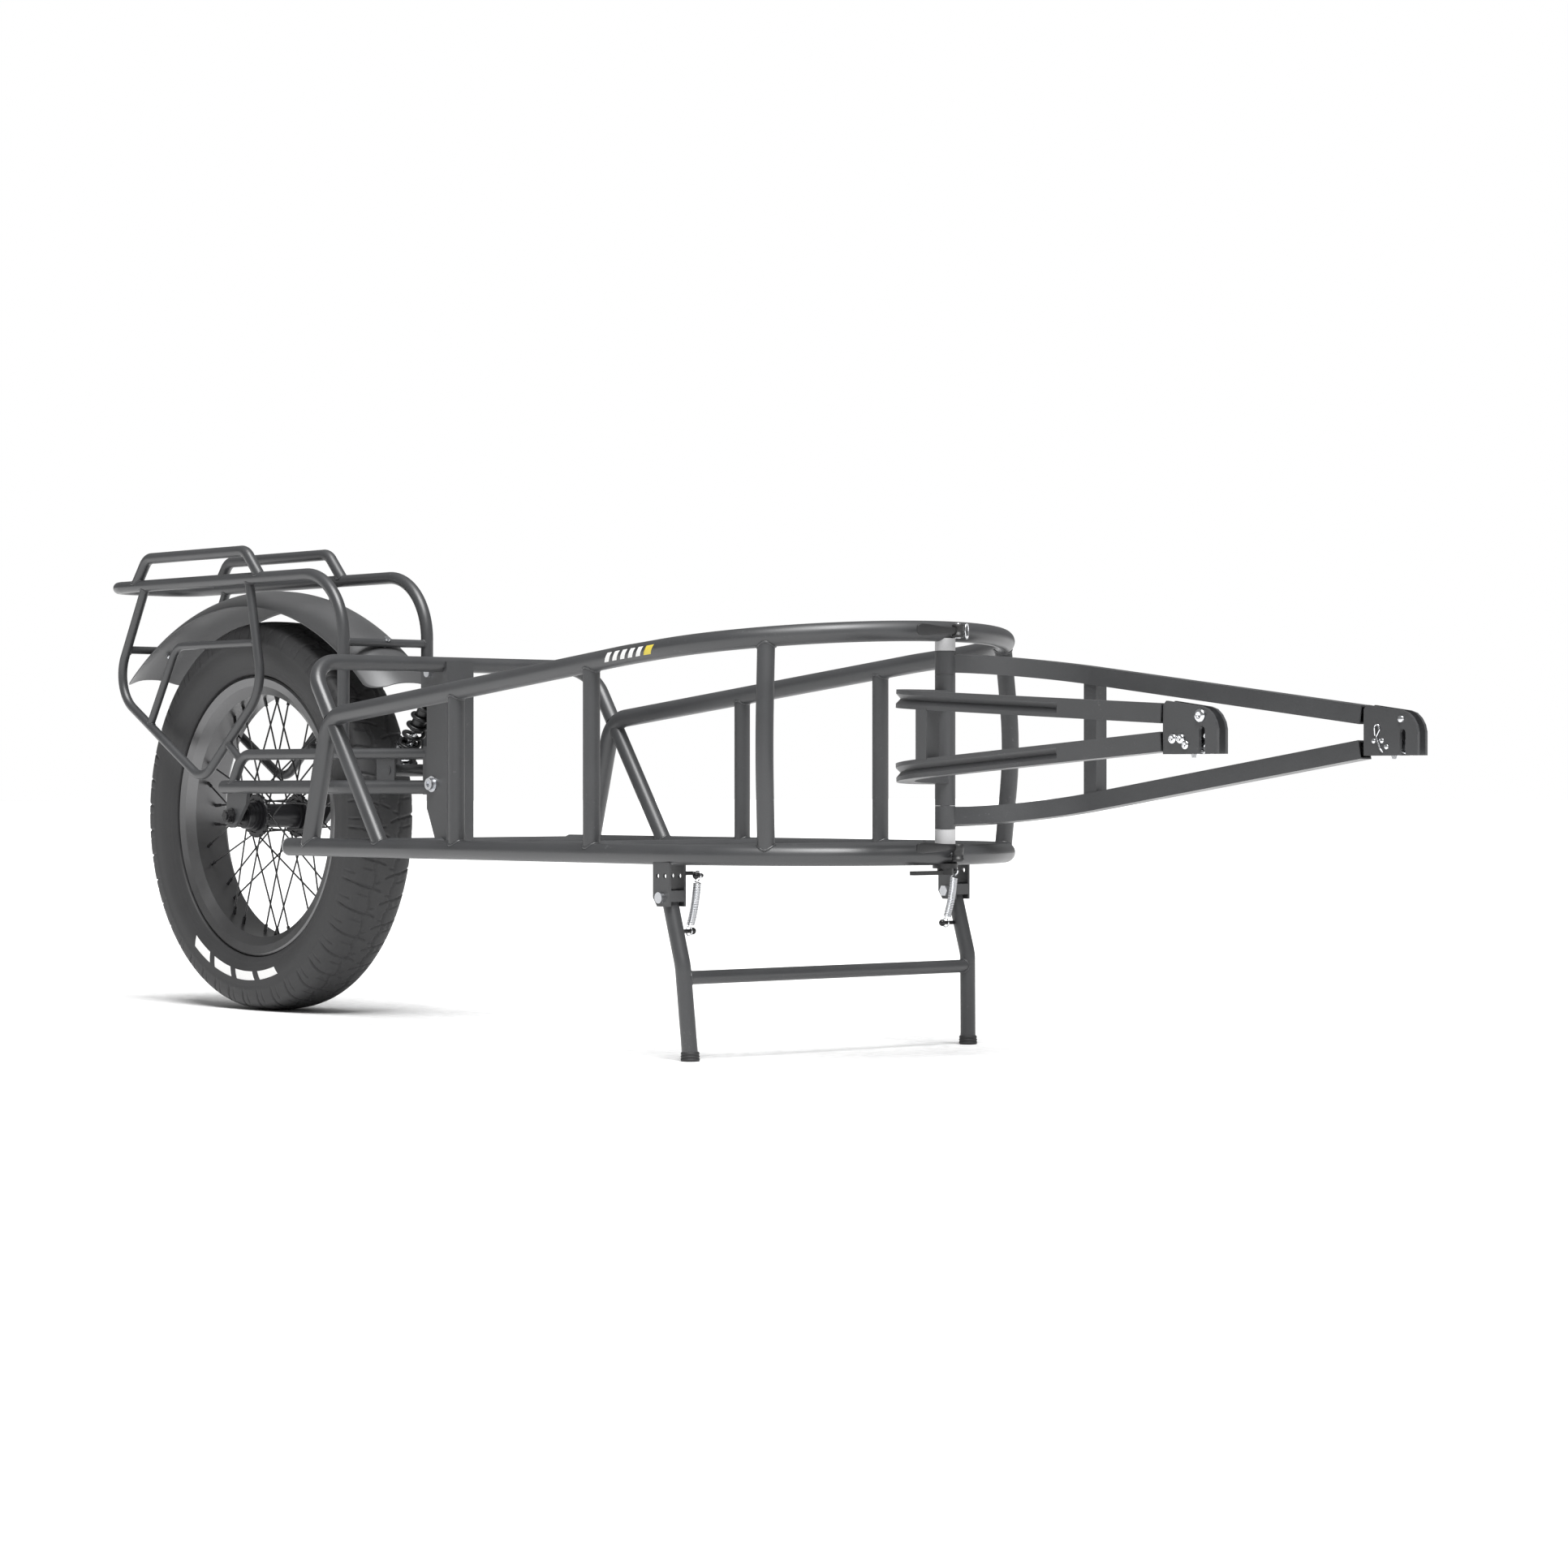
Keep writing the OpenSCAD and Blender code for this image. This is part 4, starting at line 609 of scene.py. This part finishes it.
def weld_rack(shape, side):
    """Beads on the deck hoop, the pannier frame and its brace."""
    y = side * RACK_HALF
    inward = (0, -side, 0)
    rear_leg, front_leg, low_edge = (-90, 0, -160), (-36, 0, 168), (252, 0, -144)
    weld(shape, (-252, y, DECK_Z), FORWARD, DECK_R, rear_leg, PANNIER_R, 1.4)
    weld(shape, (36, y, DECK_Z), FORWARD, DECK_R, (36, 0, -168), PANNIER_R, 1.4)
    weld(shape, (-282, y, DECK_Z), FORWARD, DECK_R, (34, 0, 42), GRIP_R, 1.4)
    weld(shape, (68, y, DECK_Z), FORWARD, DECK_R, (-40, 0, 42), GRIP_R, 1.4)
    weld(shape, (283, y, 550.2), UP, DECK_R, inward, BRACE_R, 1.2)
    weld(shape, (-308, y, 552.8), rear_leg, PANNIER_R, inward, BRACE_R, 1.2)
    weld(shape, (57, y, 555), front_leg, PANNIER_R, (-1, 0, 0), BRACE_R, 1.2)
    weld(shape, (-239.4, y, 433.4), low_edge, PANNIER_R, (76, 0, 121), BRACE_R, 1.2)
    weld(shape, (-22, y, 405), (162, 0, 136), PANNIER_R, (42, side * 5, -25), BRACE_R, 1.2)
    weld(shape, (-2, side * 80, 338.5), FORWARD, 10, (28, 0, 48.5), 8, 1.5)


frame_welds, rack_welds, stand_welds = Shape(), Shape(), Shape()
for side in SIDES:
    weld_basket(frame_welds, side)
    weld_rack(rack_welds, side)
    weld(stand_welds, (1257.9, side * 244.2, 103), (7, side * -6, -113), LEG_R, (0, -side, 0), STAND_BAR_R,
         1.6)
frame_welds.done("frame_welds", "frame", "frame_paint")
rack_welds.done("rack_welds", "swingarm", "swing_paint")
stand_welds.done("stand_welds", "kickstand", "frame_paint")

# ---------------------------------------------------------------- marks on the top rail

MARK_X, MARK_PITCH, MARK_COUNT, MARK_WIDTH, LAST_MARK_WIDTH = 1126, 15.5, 6, 8.5, 14
MARK_REACH, MARK_SLANT = 26, 7  # degrees up and down the rail, and how far the ends lean
MARK_PROUD, MARK_SUNK, MARK_CELLS = 0.25, 0.5, 8


def rail_mark(side, start, width):
    """One slanted bar on the outer face of a top rail."""
    top, under = [], []
    for i in range(MARK_CELLS + 1):
        a = math.radians(MARK_REACH * (2 * i / MARK_CELLS - 1))
        for j in range(MARK_CELLS + 1):
            x = start + width * j / MARK_CELLS + MARK_SLANT * math.sin(a)
            for out, r in ((top, RAIL_R + MARK_PROUD), (under, RAIL_R - MARK_SUNK)):
                out.append(at(x, side * (BASKET_HALF + r * math.cos(a)), brim_height(x) + r * math.sin(a)))
    return slab(top, under, MARK_CELLS + 1, MARK_CELLS + 1)


plain_marks, last_marks = Shape(), Shape()
for side in SIDES:
    for k in range(MARK_COUNT - 1):
        plain_marks.add(*rail_mark(side, MARK_X + MARK_PITCH * k, MARK_WIDTH))
    last_marks.add(*rail_mark(side, MARK_X + MARK_PITCH * (MARK_COUNT - 1), LAST_MARK_WIDTH))
plain_marks.done("rail_bars", "frame", "frame_paint", WHITE_INK)
last_marks.done("rail_bars_bright", "frame", "frame_paint", YELLOW_INK)

# ---------------------------------------------------------------- hitch bolts and clips

INNER_Y, OUTER_Y = 161.0, 179.0
LATCH_Y = 173.2
CLIP = [(2022, 399), (2021, 410), (2026, 413), (2029, 406),
        (2024, 398), (2027, 390), (2030, 383), (2034, 380)]
ZIGZAG = [(2052, 380), (2063, 376.5), (2060, 384), (2064.5, 389), (2059.5, 395), (2064, 401), (2061, 405)]


def dome(shank_r, head_r, height, side, x, z, tail=1.0):
    """Button-head bolt through a plate pack, with a socket in its head."""
    head = [(0.0, head_r * 0.97), (0.5, head_r), (height * 0.3, head_r)]
    for t in range(15, 91, 15):
        rise, fall = math.sin(math.radians(t)), math.cos(math.radians(t))
        head.append((height * (0.3 + 0.7 * rise), head_r * (0.42 + 0.58 * fall)))
    head += [(height - 0.3, head_r * 0.38), (height * 0.45, head_r * 0.36)]
    profile = [(INNER_Y - tail, shank_r - 0.5), (INNER_Y - tail + 0.5, shank_r), (OUTER_Y, shank_r)]
    profile += [(OUTER_Y + h, r) for h, r in head]
    return turned((x, 0, z), (0, side, 0), profile, 36)


for name, side in (("right", -1), ("left", 1)):
    bolts = Shape()
    bolts.add(*dome(4, 7.5, 4.2, side, 2060, 418, 2.5))
    bolts.add(*dome(3, 5, 3.0, side, 2038, 386))
    for x in (2019, 2031):
        bolts.add(*dome(3, 5.75, 3.6, side, x, 393))
    clip_y = side * (INNER_Y - 1.15)
    bolts.add(*sweep(rounded([(x, clip_y, z) for x, z in CLIP], [2.2] * (len(CLIP) - 2), 6), 1.0, 8))
    obj = bolts.done(name + "_button_bolts", name + "_yoke", "zinc", MATERIALS["bright_chrome"])
    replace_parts(obj, name + "_hitch_bolts")

for name, side in (("right", -1), ("left", 1)):
    wire = Shape()
    points = [(x, side * LATCH_Y, z) for x, z in ZIGZAG]
    wire.add(*sweep(rounded(points, [1.6] * (len(ZIGZAG) - 2), 5), 1.25, 8))
    wire.done(name + "_latch_wire", name + "_latch_lever", "bright_chrome")

# ---------------------------------------------------------------- head levers

LEVER_X, BRIM_Z, LOW_Z = 1492.7, 532.0, 265.0
BOSS_R, WAIST_R, BOSS_EDGE = 7.5, 6.9, 0.8
BRIM_BOSS_H, LOW_BOSS_Z, LOW_BOSS_H = 16, 247.5, 21.7
BRIM_BLADE = [(-3, 0.5, 3.4, 4.2), (-10, 0.6, 3.4, 4.4), (-24, 0.7, 3.3, 4.8), (-40, 0.8, 3.2, 6.0),
              (-54, 1.0, 3.0, 7.4), (-63, 1.2, 2.6, 7.6), (-68, 1.4, 1.8, 6.6), (-70.5, 1.5, 0.8, 4.2)]
LOW_BLADE = [(-3, 0, 3.4, 4.0), (-24, 0, 3.4, 4.6), (-44, 0, 3.3, 6.0), (-58, 0, 3.0, 6.8),
             (-66, 0, 2.2, 6.2), (-69.5, 0, 0.9, 4.0)]


def cam_boss(z, height):
    """Waisted round boss standing on z."""
    profile = [(0, BOSS_R - 0.9), (BOSS_EDGE, BOSS_R), (4.0, BOSS_R), (4.2, WAIST_R), (11.8, WAIST_R),
               (12.0, BOSS_R), (height - BOSS_EDGE, BOSS_R), (height, BOSS_R - 0.9)]
    return turned((LEVER_X, 0, z), (0, 0, 1), profile, 36)


def cam_blade(z, stations):
    """Handle reaching out along -Y; each station is (y, drift in x, half-width in x, half-height)."""
    return loft([(y, LEVER_X + drift, z, a, b) for y, drift, a, b in stations])


lever = Shape()
lever.add(*cam_boss(BRIM_Z - BRIM_BOSS_H / 2, BRIM_BOSS_H))
lever.add(*cam_blade(BRIM_Z, BRIM_BLADE))
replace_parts(lever.done("cam_paddle", "head_cam_lever", "black_plastic"), "head_lever")
low = Shape()
low.add(*cam_boss(LOW_BOSS_Z, LOW_BOSS_H))
low.add(*cam_blade(LOW_Z, LOW_BLADE))
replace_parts(low.done("lower_paddle", "low_cam_lever", "black_plastic"), "low_lever")

bail = Shape()
loop = []
for k in range(48):
    t = 2 * math.pi * k / 48
    loop.append(at(LEVER_X + 1 + 1.5 * math.cos(t), 9.5 + 8.5 * abs(math.sin(t / 2)) ** 1.5,
                   BRIM_Z + 9 * math.sin(t)))
bail.add(*sweep(loop, 1.1, 8, closed=True))
bail.add(*turned((LEVER_X, 0, BRIM_Z - 9.4), (0, 0, 1), [(0, 3.2), (0.6, 3.9), (1.4, 3.9)], 24))
bail.add(*turned((LEVER_X, 0, BRIM_Z + 8), (0, 0, 1), [(0, 3.9), (0.8, 3.9), (1.5, 3.1)], 24))
bail.done("cam_wire_bail", "frame", "bright_chrome")

# ---------------------------------------------------------------- hub rings and feet

TEETH, TOOTH_CELLS, TOOTH_WIDTH, TOOTH_H = 18, 10, 6, 1.6
TOOTHED = [(33.2, 26), (33.2, 30.5), (34.6, 31.6), (38.4, 31.6), (40.2, 30.5), (40.2, 26)]
END_CAP = [(44, 18.2), (44.5, 20), (50, 20), (50.5, 18.6), (53, 18.6), (53.5, 19.6), (60, 19.6), (61, 18.2)]
FOOT_X, FOOT_Y = 1264, 239
FOOT = [(0, 10.6), (0.6, 11.6), (2.2, 12.0), (3.4, 12.0), (3.9, 11.3), (5.0, 11.3), (5.5, 11.9), (6.8, 11.9),
        (7.3, 11.2), (8.4, 11.2), (8.9, 11.7), (10.4, 11.5), (11.6, 10.9), (12.0, 9.8)]


def notched_ring(side):
    """Toothed ring round a hub flange; only its outer stations carry the teeth."""
    cells = TEETH * TOOTH_CELLS
    verts = []
    for y, r in TOOTHED:
        for k in range(cells):
            raised = r > 30 and k % TOOTH_CELLS < TOOTH_WIDTH
            verts.append(wheel_point(r + (TOOTH_H if raised else 0), 2 * math.pi * k / cells, side * y))
    return verts, grid_faces(len(TOOTHED), cells, wrap_rows=True)


rings = Shape()
for side in SIDES:
    rings.add(*notched_ring(side))
    rings.add(*turned((0, 0, WHEEL_Z), (0, side, 0), END_CAP, 48))
rings.done("hub_rings", "wheel", "hub_metal", smooth=False)

feet = Shape()
for side in SIDES:
    feet.add(*turned((FOOT_X, side * FOOT_Y, 0), (0, 0, 1), FOOT, 40))
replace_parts(feet.done("ribbed_feet", "kickstand", "foot_rubber"), "kickstand_feet")

# ---------------------------------------------------------------- camera, light and floor

CAMERA_AT = at(4925.8, -3309.0, 343.1)
VIEW = Vector((-0.7505, 0.6609, 0.0))
SENSOR_MM, LENS_MM = 36, 88.67
AMBIENT, BACKDROP = 0.26, 1.0
FLOOR_HALF = 60  # metres
WHITE = (1, 1, 1, 1)


def aimed(name, data, direction):
    """An object whose -Z axis points along the direction."""
    obj = bpy.data.objects.new(name, data)
    obj.rotation_mode = "QUATERNION"
    obj.rotation_quaternion = Vector(direction).to_track_quat("-Z", "Y")
    bpy.context.scene.collection.objects.link(obj)
    return obj


camera = bpy.data.cameras.new("camera")
camera.sensor_width = SENSOR_MM
camera.lens = LENS_MM
camera.clip_start = 0.05
camera.clip_end = 200
camera_obj = aimed("camera", camera, VIEW)
camera_obj.location = CAMERA_AT
bpy.context.scene.camera = camera_obj
bpy.context.scene.view_settings.view_transform = "Standard"

world = bpy.data.worlds.new("studio")
bpy.context.scene.world = world
world.use_nodes = True
wn, wl = world.node_tree.nodes, world.node_tree.links
ambient = wn["Background"]
backdrop = wn.new("ShaderNodeBackground")
for shader, strength in ((ambient, AMBIENT), (backdrop, BACKDROP)):
    shader.inputs["Color"].default_value = WHITE
    shader.inputs["Strength"].default_value = strength
sight = wn.new("ShaderNodeLightPath")
pick = wn.new("ShaderNodeMixShader")
wl.new(sight.outputs["Is Camera Ray"], pick.inputs[0])
wl.new(ambient.outputs[0], pick.inputs[1])
wl.new(backdrop.outputs[0], pick.inputs[2])
wl.new(pick.outputs[0], wn["World Output"].inputs["Surface"])

softbox = bpy.data.lights.new("top_softbox", "SUN")
softbox.energy = 5.0
softbox.angle = math.radians(40)
aimed("top_softbox", softbox, (-0.45, 0.25, -1))

corners = [(-FLOOR_HALF, -FLOOR_HALF, 0), (FLOOR_HALF, -FLOOR_HALF, 0),
           (FLOOR_HALF, FLOOR_HALF, 0), (-FLOOR_HALF, FLOOR_HALF, 0)]
floor_mesh = bpy.data.meshes.new("floor")
floor_mesh.from_pydata(corners, [], [(0, 1, 2, 3)])
floor = bpy.data.objects.new("floor", floor_mesh)
bpy.context.scene.collection.objects.link(floor)
floor_paper = finish_material("floor_paper", (0.86, 0.86, 0.86), 0.9, grain=60, bump=0.02, vary=0.005,
                              specular=0.1)
floor_mesh.materials.append(floor_paper)
